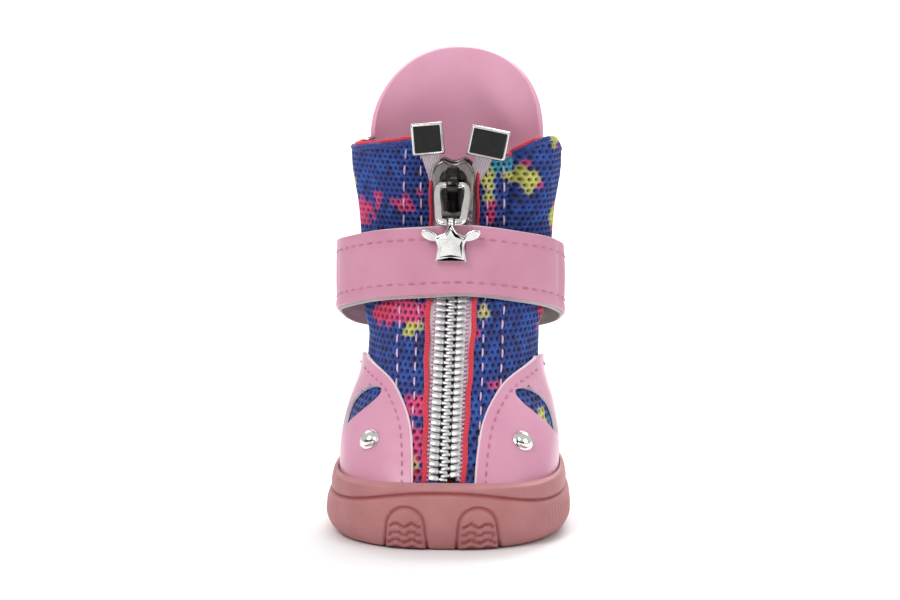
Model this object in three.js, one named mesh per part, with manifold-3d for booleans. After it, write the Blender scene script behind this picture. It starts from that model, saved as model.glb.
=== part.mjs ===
// A small dog boot: moulded rubber cupsole, knitted mesh upper with a metal front zip,
// coated side panels, a strap, a tall back tab, and a star charm on the zip's pull.
// Millimetres, +Z up, toe towards -Y. The origin is on the floor, under the middle of the sole.
import * as THREE from 'three';
import { mergeVertices } from 'three/addons/utils/BufferGeometryUtils.js';
import Module from 'manifold-3d';

const wasm = await Module();
wasm.setup();

// ---- Driving dimensions ---------------------------------------------------------------

const GAP = 0.3;                 // clearance between touching pieces
const SPARE = 5;                 // how far a cutting block runs past what it cuts
const SLIVER = 0.02;             // facets thinner than this are taken up by their neighbours

// Sole
const SOLE_HALF_LENGTH = 28.8;
const SOLE_HALF_WIDTH = 22.3;
const BALL_Y = -4;               // where the sole is widest
const SOLE_SQUARENESS = 2.35;    // exponent of the sole's outline, 2 is an ellipse
const SOLE_AROUND = 60;          // points round each ring of the sole
const CUP_FLOOR = 2.4;           // thickness of the sole under the foot
const TOE_GROOVE_Z = 10.6;       // height of the groove at the toe
const SIDE_GROOVE_Z = 7.7;       // and along the sides
const TOE_LIP_Z = 11.6;          // height of the lip at the toe
const BALL_LIP_Z = 10.8;         // at the ball of the foot
const HEEL_LIP_Z = 12.2;         // and at the heel
const GROOVE_DEPTH = 0.55;
const TREAD_DEPTH = 0.9;
const TREAD_CHANNEL = 1.5;       // width of a channel between two lugs
const TREAD_RAIL_X = 10.6;       // the two channels that run along the foot
const CLAW_X = 6.6;              // centres of the two claw pads on the toe
const CLAW_WIDTH = 7.3;
const CLAW_HEIGHT = 7.4;
const CLAW_PROUD = 0.45;
const CLAW_FOOT_Z = 0.3;         // height of the pads' lower edge
const CLAW_ARCH = 0.9;           // width of a pad's round top as a share of its foot
const CLAW_BACK_Y = -25.9;       // the pads' root, inside the sole's wall

// The channels across the tread: where each lies, and how far it runs to either side.
const TREAD_CHANNELS = [
  { y: -20.5, reach: 12.4 },
  { y: -14.0, reach: 16.2 },
  { y: -7.5, reach: 17.6 },
  { y: 7.5, reach: 17.0 },
  { y: 14.0, reach: 15.0 },
  { y: 20.5, reach: 11.8 },
];

// Upper
const WALL = 1.5;
const UPPER_AROUND = 44;
const UPPER_UP = 14;             // rings from the bottom edge to the collar
const UPPER_BOTTOM = CUP_FLOOR + GAP;
const COLLAR_FRONT_Z = 69.6;
const COLLAR_SIDE_Z = 67.2;
const COLLAR_BACK_Z = 66.4;
const THROAT_HALF_WIDTH = 4.3;   // the opening that the zip closes

// The upper's level sections. front and back are where the section meets the middle plane,
// half is half the width, widest is where that width lies, round is the outline's exponent.
const UPPER_SECTIONS = [
  { z: 2.0, front: -24.2, back: 25.2, half: 18.5, widest: -3.0, round: 2.45 },
  { z: 11.0, front: -20.3, back: 26.4, half: 19.0, widest: -2.0, round: 2.40 },
  { z: 17.0, front: -15.6, back: 26.9, half: 18.8, widest: 0.0, round: 2.30 },
  { z: 22.0, front: -11.4, back: 27.2, half: 17.7, widest: 3.5, round: 2.20 },
  { z: 27.0, front: -7.1, back: 27.5, half: 16.0, widest: 8.0, round: 2.10 },
  { z: 32.0, front: -2.8, back: 27.8, half: 15.8, widest: 12.0, round: 2.05 },
  { z: 37.0, front: 1.8, back: 28.4, half: 16.8, widest: 15.0, round: 2.00 },
  { z: 42.5, front: 7.8, back: 29.5, half: 17.2, widest: 18.5, round: 1.95 },
  { z: 48.0, front: 12.8, back: 31.0, half: 17.6, widest: 21.0, round: 1.90 },
  { z: 56.0, front: 13.9, back: 32.0, half: 18.3, widest: 22.0, round: 1.90 },
  { z: 64.0, front: 13.8, back: 32.2, half: 19.5, widest: 22.0, round: 1.90 },
  { z: 86.0, front: 10.0, back: 28.6, half: 19.2, widest: 18.6, round: 1.90 },
];

// Insole
const INSOLE_THICKNESS = 1.6;

// Side panels, cut from a shell just outside the upper
const PANEL_THICKNESS = 0.9;
// The front edge of a panel beside the zip, from the sole's lip up: distance from the middle.
const PANEL_FRONT_EDGE = [
  { x: 6.0, z: 2 },
  { x: 6.0, z: 12 },
  { x: 6.3, z: 17 },
  { x: 7.0, z: 21 },
  { x: 8.6, z: 24.5 },
  { x: 11.2, z: 27.6 },
  { x: 15.9, z: 30 },
];
// The top edge of a panel from there back to the heel seam.
const PANEL_TOP_EDGE = [
  { y: 8, z: 30.1 },
  { y: 18, z: 28.1 },
  { y: 27.5, z: 26.6 },
  { y: 40, z: 26.2 },
];
const PANEL_UP = 9;              // rings of facets up a panel
const WINDOW_ROOT_X = 6;         // the windows are cut from here outwards
// The two windows of each panel, seen from the side.
const WINDOWS = [
  { y: -2.4, z: 21.4, length: 10.6, height: 6.8, lean: -1.1 },
  { y: 14.4, z: 19.4, length: 10.6, height: 8.6, lean: -0.08 },
];

// Rivets
const RIVET_X = 14;
const RIVET_Z = 17.6;
const RIVET_RADIUS = 1.8;
const RIVET_DOME = 1.1;
const RIVET_RIM = 0.25;
const RIVET_STEPS = 5;
const RIVET_SIDES = 16;

// Strap
const STRAP_HALF_WIDTH = 21.3;
const STRAP_FRONT_Y = 3.9;
const STRAP_SIDE_Y = 18;
const STRAP_BACK_Y = 32.6;
const STRAP_ROUND = 1.85;
const STRAP_HEIGHT = 12.8;
const STRAP_THICKNESS = 1.2;
const STRAP_AROUND = 48;
const STRAP_FRONT_Z = 48.2;      // height of its middle line at the front
const STRAP_SIDE_Z = 43.0;       // at its sides
const STRAP_BACK_Z = 38.2;       // and at the back

// Back tab
const TAB_THICKNESS = 1.2;
const TAB_BASE_Z = 56;
const TAB_HALF_WIDTH = 16.3;
const TAB_SHOULDER_Z = 68.4;     // where its sides turn into the round top
const TAB_TOP_Z = 84.6;
const TAB_TAPER = 2;             // how much narrower each side is at its base
const TAB_SQUARENESS = 2.35;     // 2 makes its top an ellipse, more makes it fuller
const TAB_ARCH_STEPS = 16;

// Zip
const ZIP_BOTTOM_Z = 12.6;
const CHAIN_TOP_Z = 60.0;
const STRIP_STEP = 2.6;          // height of one facet of the tapes
const ZIP_DEPTH = 0.55;          // of the chain's middle behind the upper's outer face
const TEETH_PITCH = 1.9;
const TOOTH_LENGTH = 3.0;        // across the chain
const TOOTH_REACH = 1.0;         // of each tooth's middle from the chain's middle
const TOOTH_WIDTH = 0.75;        // along the chain
const TOOTH_THICKNESS = 1.5;
const CORE_HALF_WIDTH = 1.1;
const TAPE_INNER_X = 2.75;
const TAPE_OUTER_X = THROAT_HALF_WIDTH - GAP;
const TAPE_THICKNESS = 0.7;
const TAPE_TOP_Z = 66.0;

// Slider
const SLIDER_TOP_Z = 66.0;
const SLIDER_BOTTOM_Z = 55.0;
const SLIDER_HALF_WIDTH = 3.9;
const SLIDER_HALF_TAIL = 2.9;
const PLATE_THICKNESS = 1.1;
const SLIDER_FRONT_Y = 10.9;     // front face of the slider's top plate
const SLIDER_BACK_Y = 15.4;      // front face of its bottom plate
const POST_HALF_WIDTH = 0.9;
const POST_LENGTH = 3.2;
const POST_TOP_Z = SLIDER_TOP_Z - 1.2;
const WELD = 0.2;                // how deep a post or bridge sinks into a plate
const BRIDGE_HALF_WIDTH = 0.85;
const BRIDGE_WALL = 0.8;         // metal round the pull's hole
const BRIDGE_TAIL_Z = SLIDER_BOTTOM_Z + 1.2;

// Pull and charm
const PULL_Y = 8.6;
const PULL_Z = 61.6;
const EYE_Y = 2.85;
const EYE_Z = 55.6;
const PULL_HALF_WIDTH = 2.7;
const EYE_HALF_GAP = 0.75;       // half the space between the pull's two ends
const WIRE_RADIUS = 0.5;
// The right half of the pull's wire, from its end in the charm's eye to its bar in the
// slider's bridge: distance from the middle, and height as a share of the way down.
const PULL_WIRE = [
  { x: EYE_HALF_GAP, down: 1 },
  { x: 1.5, down: 1 },
  { x: 2.0, down: 0.97 },
  { x: 2.3, down: 0.86 },
  { x: 2.5, down: 0.6 },
  { x: PULL_HALF_WIDTH, down: 0.3 },
  { x: PULL_HALF_WIDTH - 0.1, down: 0.1 },
  { x: PULL_HALF_WIDTH - 0.6, down: 0 },
  { x: BRIDGE_HALF_WIDTH, down: 0 },
];
const CHARM_THICKNESS = 1.2;
const CHARM_RADIUS = 4.0;
const CHARM_INNER_RADIUS = 2.5;
const CHARM_DROP = 4.0;          // from the eye to the star's middle
const CHARM_TIPS = 5;
const CHARM_EYE_WALL = 0.35;
const LOBE = { x: 3.9, rise: 1.5, length: 3.2, width: 1.7, lean: 0.5 };

// Clips at the ends of the zip's tapes
const CLIP_SHEET = 0.45;
const CLIP_DEPTH = 1.9;
const CLIP_BACK_Y = 12.6;
const CLIPS = [
  { name: 'clip_left', x: -4.6, z: 69.3, width: 5.8, height: 5.8, turn: 0.09 },
  { name: 'clip_right', x: 6.6, z: 68.6, width: 7.0, height: 5.4, turn: -0.2 },
];

// ---- Materials ------------------------------------------------------------------------

const COLOURS = {
  rubber: { color: 0xc08080, roughness: 0.65, metalness: 0 },
  mesh: { color: 0x1e50aa, roughness: 0.85, metalness: 0 },
  panel: { color: 0xdc96b9, roughness: 0.35, metalness: 0 },
  strap: { color: 0xcf8fae, roughness: 0.5, metalness: 0 },
  tape: { color: 0xcfcfd2, roughness: 0.8, metalness: 0 },
  silver: { color: 0xc9c9cb, roughness: 0.25, metalness: 1 },
  gunmetal: { color: 0x6c6a68, roughness: 0.3, metalness: 1 },
  foam: { color: 0xd8a0b4, roughness: 0.9, metalness: 0 },
};

// ---- Solids ---------------------------------------------------------------------------

// The closed form through a list of rings, all with the same number of points.
// Without capping, the last ring joins the first and the form is a band.
function skin(rings, capped) {
  const around = rings[0].length;
  const positions = rings.flat().flatMap((p) => [p.x, p.y, p.z]);
  const faces = [];
  const spans = capped ? rings.length - 1 : rings.length;
  for (let r = 0; r < spans; r++) {
    const next = (r + 1) % rings.length;
    for (let i = 0; i < around; i++) {
      const j = (i + 1) % around;
      const a = r * around + i;
      const b = r * around + j;
      const c = next * around + j;
      const d = next * around + i;
      faces.push(a, b, c, a, c, d);
    }
  }
  if (capped) {
    for (const [ring, start, flip] of [[rings[0], 0, true], [rings.at(-1), spans * around, false]]) {
      const middle = new THREE.Vector3();
      ring.forEach((p) => middle.addScaledVector(p, 1 / around));
      const hub = positions.length / 3;
      positions.push(middle.x, middle.y, middle.z);
      for (let i = 0; i < around; i++) {
        const a = start + i;
        const b = start + (i + 1) % around;
        faces.push(...(flip ? [b, a, hub] : [a, b, hub]));
      }
    }
  }
  const geometry = new THREE.BufferGeometry();
  geometry.setAttribute('position', new THREE.Float32BufferAttribute(positions, 3));
  geometry.setIndex(faces);
  return geometry;
}

// A closed geometry as a solid that can be joined and cut.
function solid(geometry) {
  const bare = geometry.clone();
  for (const name of Object.keys(bare.attributes)) {
    if (name !== 'position') bare.deleteAttribute(name);
  }
  const merged = mergeVertices(bare, 1e-4);
  return new wasm.Manifold(new wasm.Mesh({
    numProp: 3,
    vertProperties: new Float32Array(merged.attributes.position.array),
    triVerts: new Uint32Array(merged.index.array),
  }));
}

// The cut solid as a geometry, without the slivers that cuts leave between facets.
function geometryOf(manifold) {
  const mesh = manifold.asOriginal().simplify(SLIVER).getMesh();
  const geometry = new THREE.BufferGeometry();
  geometry.setAttribute('position', new THREE.BufferAttribute(mesh.vertProperties, 3));
  geometry.setIndex(new THREE.BufferAttribute(mesh.triVerts, 1));
  geometry.computeVertexNormals();
  return geometry;
}

function shapeOf(points) {
  return new THREE.Shape(points.map(([u, v]) => new THREE.Vector2(u, v)));
}

// A shape drawn in X and Z, as seen from the front, made solid from one depth to another.
function frontBlock(shape, yFrom, yTo) {
  const block = new THREE.ExtrudeGeometry(shape, {
    depth: yTo - yFrom, bevelEnabled: false, curveSegments: 8,
  });
  block.rotateX(Math.PI / 2);
  block.translate(0, yTo, 0);
  return block;
}

// A shape drawn in Y and Z, as seen from the side, made solid from one x to another.
function sideBlock(shape, xFrom, xTo) {
  const block = new THREE.ExtrudeGeometry(shape, {
    depth: xTo - xFrom, bevelEnabled: false, curveSegments: 10,
  });
  block.rotateY(Math.PI / 2);
  block.rotateX(Math.PI / 2);
  block.translate(xFrom, 0, 0);
  return block;
}

function boxBlock(x0, x1, y0, y1, z0, z1) {
  const box = new THREE.BoxGeometry(x1 - x0, y1 - y0, z1 - z0);
  box.translate((x0 + x1) / 2, (y0 + y1) / 2, (z0 + z1) / 2);
  return box;
}

const group = new THREE.Group();

function addPiece(name, geometry, look, parent = group) {
  const mesh = new THREE.Mesh(geometry, new THREE.MeshStandardMaterial(COLOURS[look]));
  mesh.name = name;
  parent.add(mesh);
  return mesh;
}

// ---- The last: level sections through the foot ----------------------------------------

// The value of one column at a height, by a smooth curve through the rows.
function sectionValue(column, z) {
  const rows = UPPER_SECTIONS;
  let k = rows.findIndex((row) => row.z > z) - 1;
  if (k < -1) k = rows.length - 2;
  k = THREE.MathUtils.clamp(k, 0, rows.length - 2);
  const [p, a, b, q] = [k - 1, k, k + 1, k + 2]
    .map((i) => rows[THREE.MathUtils.clamp(i, 0, rows.length - 1)]);
  const slope = (low, high) => (high === low ? 0 : (high[column] - low[column]) / (high.z - low.z));
  const span = b.z - a.z;
  const t = THREE.MathUtils.clamp((z - a.z) / span, 0, 1);
  const startSlope = p === a ? slope(a, b) : slope(p, b);
  const endSlope = q === b ? slope(a, b) : slope(a, q);
  const t2 = t * t;
  const t3 = t2 * t;
  return (2 * t3 - 3 * t2 + 1) * a[column] + (t3 - 2 * t2 + t) * span * startSlope
    + (3 * t2 - 2 * t3) * b[column] + (t3 - t2) * span * endSlope;
}

// A point of a level outline. The angle starts at the toe and runs round by the right side.
// The outline keeps its own half width, and its front and back halves their own lengths.
function outlinePoint(angle, z, shape, outwards) {
  const sine = Math.sin(angle);
  const cosine = Math.cos(angle);
  const power = 2 / shape.round;
  const across = Math.sign(sine) * Math.abs(sine) ** power;
  const along = -Math.sign(cosine) * Math.abs(cosine) ** power;
  const reach = along < 0 ? shape.widest - shape.front : shape.back - shape.widest;
  return new THREE.Vector3(
    across * (shape.half + outwards),
    shape.widest + along * (reach + outwards),
    z,
  );
}

function upperPoint(angle, z, outwards) {
  const shape = {};
  for (const column of ['front', 'back', 'half', 'widest', 'round']) {
    shape[column] = sectionValue(column, z);
  }
  return outlinePoint(angle, z, shape, outwards);
}

// Height of the collar's edge round the leg.
function collarHeight(angle) {
  const front = Math.max(0, Math.cos(angle)) ** 2;
  const back = Math.max(0, -Math.cos(angle)) ** 2;
  return COLLAR_SIDE_Z + front * (COLLAR_FRONT_Z - COLLAR_SIDE_Z) + back * (COLLAR_BACK_Z - COLLAR_SIDE_Z);
}

function angles(count) {
  return Array.from({ length: count }, (_, i) => (i / count) * Math.PI * 2);
}

// A band of the last between two offsets, from one height to another.
function lastBand(inner, outer, around, up, bottom, top) {
  const ringAt = (fraction, outwards) => angles(around).map((angle) => {
    const low = bottom(angle);
    return upperPoint(angle, low + (top(angle) - low) * fraction, outwards);
  });
  const outside = [];
  const inside = [];
  for (let k = 0; k <= up; k++) {
    outside.push(ringAt(k / up, outer));
    inside.unshift(ringAt(k / up, inner));
  }
  return skin([...outside, ...inside], false);
}

// ---- Sole -----------------------------------------------------------------------------

function soleOutline(angle, z, outwards) {
  return outlinePoint(angle, z, {
    front: -SOLE_HALF_LENGTH,
    back: SOLE_HALF_LENGTH,
    half: SOLE_HALF_WIDTH,
    widest: BALL_Y,
    round: SOLE_SQUARENESS,
  }, outwards);
}

function grooveHeight(angle) {
  const toe = Math.max(0, Math.cos(angle)) ** 2;
  return SIDE_GROOVE_Z + (TOE_GROOVE_Z - SIDE_GROOVE_Z) * toe ** 2;
}

function lipHeight(angle) {
  const toe = Math.max(0, Math.cos(angle)) ** 3;
  const heel = (1 - Math.cos(angle)) / 2;
  return BALL_LIP_Z + (TOE_LIP_Z - BALL_LIP_Z) * toe + (HEEL_LIP_Z - BALL_LIP_Z) * heel ** 1.5;
}

// The wall of the sole from the floor to the lip: height as a share of the groove's height
// plus a fixed rise, and how far the surface lies inside the outline.
const SOLE_WALL = [
  { share: 0, rise: 0, inset: 2.9 },
  { share: 0, rise: 0.55, inset: 1.6 },
  { share: 0.18, rise: 0.3, inset: 0.65 },
  { share: 0.45, rise: 0, inset: 0 },
  { share: 0.75, rise: 0, inset: 0.15 },
  { share: 1, rise: -0.45, inset: 0.6 },
  { share: 1, rise: -0.1, inset: 0.75 + GROOVE_DEPTH },
  { share: 1, rise: 0.25, inset: 0.75 + GROOVE_DEPTH },
  { share: 1, rise: 0.55, inset: 0.8 },
];
const LIP_EDGE_DROP = 0.2;       // the lip's outer edge lies this much under its top
const LIP_EDGE_INSET = 1.15;
const LIP_TOP_INSET = 1.75;

function soleSolid() {
  const rings = SOLE_WALL.map((row) => angles(SOLE_AROUND).map((angle) => soleOutline(
    angle, grooveHeight(angle) * row.share + row.rise, -row.inset)));
  const ring = (place) => angles(SOLE_AROUND).map(place);
  rings.push(ring((angle) => soleOutline(angle, lipHeight(angle) - LIP_EDGE_DROP, -LIP_EDGE_INSET)));
  rings.push(ring((angle) => soleOutline(angle, lipHeight(angle), -LIP_TOP_INSET)));
  rings.push(ring((angle) => upperPoint(angle, lipHeight(angle), PANEL_THICKNESS + 2 * GAP)));
  rings.push(ring((angle) => upperPoint(angle, lipHeight(angle) / 2, PANEL_THICKNESS + 2 * GAP)));
  rings.push(ring((angle) => upperPoint(angle, CUP_FLOOR, PANEL_THICKNESS + 2 * GAP)));
  let body = solid(skin(rings, true));
  for (const side of [-1, 1]) {
    body = body.add(clawPad(side));
  }
  for (const { y, reach } of TREAD_CHANNELS) {
    body = body.subtract(solid(boxBlock(-reach, reach,
      y - TREAD_CHANNEL / 2, y + TREAD_CHANNEL / 2, -SPARE, TREAD_DEPTH)));
  }
  for (const side of [-1, 1]) {
    const x = side * TREAD_RAIL_X;
    body = body.subtract(solid(boxBlock(x - TREAD_CHANNEL / 2, x + TREAD_CHANNEL / 2,
      TREAD_CHANNELS[0].y, TREAD_CHANNELS.at(-1).y, -SPARE, TREAD_DEPTH)));
  }
  return body;
}

// A round-topped claw pad on the toe, cut from a skin just proud of the sole's wall.
function clawPad(side) {
  const arch = new THREE.Shape();
  const half = CLAW_WIDTH / 2;
  arch.moveTo(-half, 0);
  arch.lineTo(half, 0);
  const radius = half * CLAW_ARCH;
  arch.lineTo(radius, CLAW_HEIGHT - radius);
  arch.absarc(0, CLAW_HEIGHT - radius, radius, 0, Math.PI, false);
  arch.closePath();
  const block = frontBlock(arch, -SOLE_HALF_LENGTH - SPARE, CLAW_BACK_Y);
  block.translate(side * CLAW_X, 0, CLAW_FOOT_Z);
  const proud = SOLE_WALL.slice(1, 6).map((row) => angles(SOLE_AROUND).map((angle) => soleOutline(
    angle, grooveHeight(angle) * row.share + row.rise, CLAW_PROUD - row.inset)));
  return solid(block).intersect(solid(skin(proud, true)));
}

// ---- Upper and insole -----------------------------------------------------------------

function upperSolid() {
  const shell = solid(lastBand(-WALL, 0, UPPER_AROUND, UPPER_UP, () => UPPER_BOTTOM, collarHeight));
  const throat = boxBlock(-THROAT_HALF_WIDTH, THROAT_HALF_WIDTH,
    -SOLE_HALF_LENGTH, sectionValue('widest', COLLAR_FRONT_Z),
    ZIP_BOTTOM_Z - GAP, COLLAR_FRONT_Z + SPARE);
  return shell.subtract(solid(throat));
}

function insoleSolid() {
  const ring = (z) => angles(UPPER_AROUND).map((angle) => upperPoint(angle, z, -WALL - GAP));
  return solid(skin([ring(UPPER_BOTTOM), ring(UPPER_BOTTOM + INSOLE_THICKNESS)], true));
}

// ---- Side panels ----------------------------------------------------------------------

function panelSolid(side) {
  const far = SOLE_HALF_WIDTH + SPARE;
  const bottom = CUP_FLOOR + 2 * GAP;
  const top = PANEL_FRONT_EDGE.at(-1).z + SPARE;
  const band = solid(lastBand(GAP, GAP + PANEL_THICKNESS, UPPER_AROUND, PANEL_UP, () => bottom, () => top));
  const curve = new THREE.SplineCurve(PANEL_FRONT_EDGE.map((p) => new THREE.Vector2(p.x, p.z)));
  const front = curve.getPoints(16).map((p) => [side * p.x, p.y]);
  front.push([side * far, PANEL_TOP_EDGE[0].z], [side * far, 0], [side * PANEL_FRONT_EDGE[0].x, 0]);
  if (side < 0) front.reverse();
  const back = PANEL_TOP_EDGE.map((p) => [p.y, p.z]).reverse();
  back.push([PANEL_TOP_EDGE[0].y, 0], [PANEL_TOP_EDGE.at(-1).y, 0]);
  const seam = GAP / 2;
  const [low, high] = side > 0 ? [seam, far] : [-far, -seam];
  const overlap = 0.5;
  const cutter = solid(frontBlock(shapeOf(front), -SOLE_HALF_LENGTH, PANEL_TOP_EDGE[0].y + overlap))
    .add(solid(sideBlock(shapeOf(back), low, high)));
  let panel = band.intersect(cutter);
  for (const w of WINDOWS) {
    const oval = new THREE.Shape();
    oval.absellipse(w.y, w.z, w.length / 2, w.height / 2, 0, Math.PI * 2, false, w.lean);
    const [from, to] = side > 0 ? [WINDOW_ROOT_X, far] : [-far, -WINDOW_ROOT_X];
    panel = panel.subtract(solid(sideBlock(oval, from, to)));
  }
  return panel;
}

// ---- Rivets ---------------------------------------------------------------------------

// The angle at which the last is a given distance from its middle, on the toe side.
function angleAt(x, z, outwards) {
  let low = 0;
  let high = Math.PI / 2;
  for (let k = 0; k < 40; k++) {
    const middle = (low + high) / 2;
    if (upperPoint(middle, z, outwards).x < x) low = middle;
    else high = middle;
  }
  return low;
}

function rivetPlace(side) {
  const outwards = 2 * GAP + PANEL_THICKNESS;
  const angle = angleAt(RIVET_X, RIVET_Z, outwards);
  const step = 0.02;
  const here = upperPoint(angle, RIVET_Z, outwards);
  const beside = upperPoint(angle + step, RIVET_Z, outwards).sub(here);
  const above = upperPoint(angle, RIVET_Z + step * 10, outwards).sub(here);
  const normal = beside.cross(above).normalize();
  here.x *= side;
  normal.x *= side;
  return { here, normal };
}

function rivetGeometry(side) {
  const { here, normal } = rivetPlace(side);
  const profile = [new THREE.Vector2(0, 0), new THREE.Vector2(RIVET_RADIUS, 0)];
  for (let k = 0; k <= RIVET_STEPS; k++) {
    const turn = (k / RIVET_STEPS) * Math.PI / 2;
    profile.push(new THREE.Vector2(RIVET_RADIUS * Math.cos(turn), RIVET_RIM + RIVET_DOME * Math.sin(turn)));
  }
  profile.at(-1).x = 0;
  const rivet = new THREE.LatheGeometry(profile, RIVET_SIDES);
  const turn = new THREE.Quaternion().setFromUnitVectors(new THREE.Vector3(0, 1, 0), normal);
  rivet.applyQuaternion(turn);
  const lift = normal.multiplyScalar(RIVET_RIM);
  rivet.translate(here.x + lift.x, here.y + lift.y, here.z + lift.z);
  return rivet;
}

// ---- Strap ----------------------------------------------------------------------------

// Height of the strap's middle line at a depth: it falls from the front towards the heel.
function strapHeight(y) {
  if (y < STRAP_SIDE_Y) {
    const t = (STRAP_SIDE_Y - y) / (STRAP_SIDE_Y - STRAP_FRONT_Y);
    return STRAP_SIDE_Z + (STRAP_FRONT_Z - STRAP_SIDE_Z) * t;
  }
  const t = (y - STRAP_SIDE_Y) / (STRAP_BACK_Y - STRAP_SIDE_Y);
  return STRAP_SIDE_Z + (STRAP_BACK_Z - STRAP_SIDE_Z) * Math.sin(t * Math.PI / 2);
}

function strapGeometry() {
  const loop = {
    front: STRAP_FRONT_Y, back: STRAP_BACK_Y, half: STRAP_HALF_WIDTH, widest: STRAP_SIDE_Y,
    round: STRAP_ROUND,
  };
  const ring = (outwards, up) => angles(STRAP_AROUND).map((angle) => {
    const p = outlinePoint(angle, 0, loop, outwards);
    p.z = strapHeight(outlinePoint(angle, 0, loop, 0).y) + up * STRAP_HEIGHT / 2;
    return p;
  });
  return skin([ring(0, -1), ring(0, 0), ring(0, 1),
    ring(-STRAP_THICKNESS, 1), ring(-STRAP_THICKNESS, 0), ring(-STRAP_THICKNESS, -1)], false);
}

// ---- Back tab -------------------------------------------------------------------------

function tabSolid() {
  const outer = -WALL - GAP;
  const inner = outer - TAB_THICKNESS;
  const band = solid(lastBand(inner, outer, UPPER_AROUND, 5, () => TAB_BASE_Z, () => TAB_TOP_Z + 1));
  const outline = new THREE.Shape();
  outline.moveTo(-TAB_HALF_WIDTH + TAB_TAPER, TAB_BASE_Z - 1);
  outline.lineTo(TAB_HALF_WIDTH - TAB_TAPER, TAB_BASE_Z - 1);
  const fuller = (value) => Math.sign(value) * Math.abs(value) ** (2 / TAB_SQUARENESS);
  for (let k = 0; k <= TAB_ARCH_STEPS; k++) {
    const turn = (k / TAB_ARCH_STEPS) * Math.PI;
    const rise = (TAB_TOP_Z - TAB_SHOULDER_Z) * fuller(Math.sin(turn));
    outline.lineTo(TAB_HALF_WIDTH * fuller(Math.cos(turn)), TAB_SHOULDER_Z + rise);
  }
  outline.closePath();
  const from = sectionValue('widest', TAB_BASE_Z);
  return band.intersect(solid(frontBlock(outline, from, STRAP_BACK_Y + SPARE)));
}

// ---- Zip ------------------------------------------------------------------------------

const frontY = (z) => sectionValue('front', z);

// The front line's slope at a height: its lean back from upright.
function frontLean(z) {
  return Math.atan2(frontY(z + 0.5) - frontY(z - 0.5), 1);
}

// A strip of the zip between two distances from the middle, swept up the front line.
// depth is how far behind the upper's outer face its middle lies.
function zipStrip(xFrom, xTo, depth, thickness, top) {
  const steps = Math.round((top - ZIP_BOTTOM_Z) / STRIP_STEP);
  const rings = [];
  for (let k = 0; k <= steps; k++) {
    const z = ZIP_BOTTOM_Z + ((top - ZIP_BOTTOM_Z) * k) / steps;
    const y = frontY(z) + depth;
    const half = thickness / 2 / Math.cos(frontLean(z));
    rings.push([[xFrom, -half], [xTo, -half], [xTo, half], [xFrom, half]]
      .map(([x, out]) => new THREE.Vector3(x, y + out, z)));
  }
  return skin(rings, true);
}

function chainSolid() {
  let chain = solid(zipStrip(-CORE_HALF_WIDTH, CORE_HALF_WIDTH, ZIP_DEPTH, TAPE_THICKNESS, CHAIN_TOP_Z));
  const teeth = [];
  let z = ZIP_BOTTOM_Z + TOOTH_WIDTH;
  for (let i = 0; z < CHAIN_TOP_Z - TOOTH_WIDTH; i++) {
    const lean = frontLean(z);
    const tooth = new THREE.BoxGeometry(TOOTH_LENGTH, TOOTH_THICKNESS, TOOTH_WIDTH);
    tooth.rotateX(-lean);
    tooth.translate((i % 2 ? 1 : -1) * TOOTH_REACH, frontY(z) + ZIP_DEPTH, z);
    teeth.push(solid(tooth));
    z += (TEETH_PITCH / 2) * Math.cos(lean);
  }
  for (const tooth of teeth) {
    chain = chain.add(tooth);
  }
  return chain;
}

function sliderSolid() {
  const shield = new THREE.Shape();
  shield.moveTo(-SLIDER_HALF_TAIL, SLIDER_BOTTOM_Z);
  shield.lineTo(SLIDER_HALF_TAIL, SLIDER_BOTTOM_Z);
  shield.lineTo(SLIDER_HALF_WIDTH, SLIDER_TOP_Z - POST_LENGTH);
  shield.quadraticCurveTo(SLIDER_HALF_WIDTH, SLIDER_TOP_Z, 0, SLIDER_TOP_Z);
  shield.quadraticCurveTo(-SLIDER_HALF_WIDTH, SLIDER_TOP_Z, -SLIDER_HALF_WIDTH, SLIDER_TOP_Z - POST_LENGTH);
  shield.closePath();
  let body = solid(frontBlock(shield, SLIDER_FRONT_Y, SLIDER_FRONT_Y + PLATE_THICKNESS));
  body = body.add(solid(frontBlock(shield, SLIDER_BACK_Y, SLIDER_BACK_Y + PLATE_THICKNESS)));
  body = body.add(solid(boxBlock(-POST_HALF_WIDTH, POST_HALF_WIDTH, SLIDER_FRONT_Y + WELD,
    SLIDER_BACK_Y + WELD, POST_TOP_Z - POST_LENGTH, POST_TOP_Z)));
  return body.add(solid(bridgeGeometry()));
}

// The loop on the slider's front that the pull hangs in, as seen from the side.
function bridgeGeometry() {
  const reach = WIRE_RADIUS + GAP;
  const outer = reach + BRIDGE_WALL;
  const root = SLIDER_FRONT_Y + WELD;
  const arch = new THREE.Shape();
  arch.moveTo(root, BRIDGE_TAIL_Z);
  arch.lineTo(root, PULL_Z + outer);
  arch.lineTo(PULL_Y, PULL_Z + outer);
  arch.absarc(PULL_Y, PULL_Z, outer, Math.PI / 2, Math.PI, false);
  arch.lineTo(PULL_Y, PULL_Z - 2 * outer);
  arch.closePath();
  const eye = new THREE.Path();
  eye.absarc(PULL_Y, PULL_Z, reach, 0, Math.PI * 2, true);
  arch.holes.push(eye);
  return sideBlock(arch, -BRIDGE_HALF_WIDTH, BRIDGE_HALF_WIDTH);
}

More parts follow.
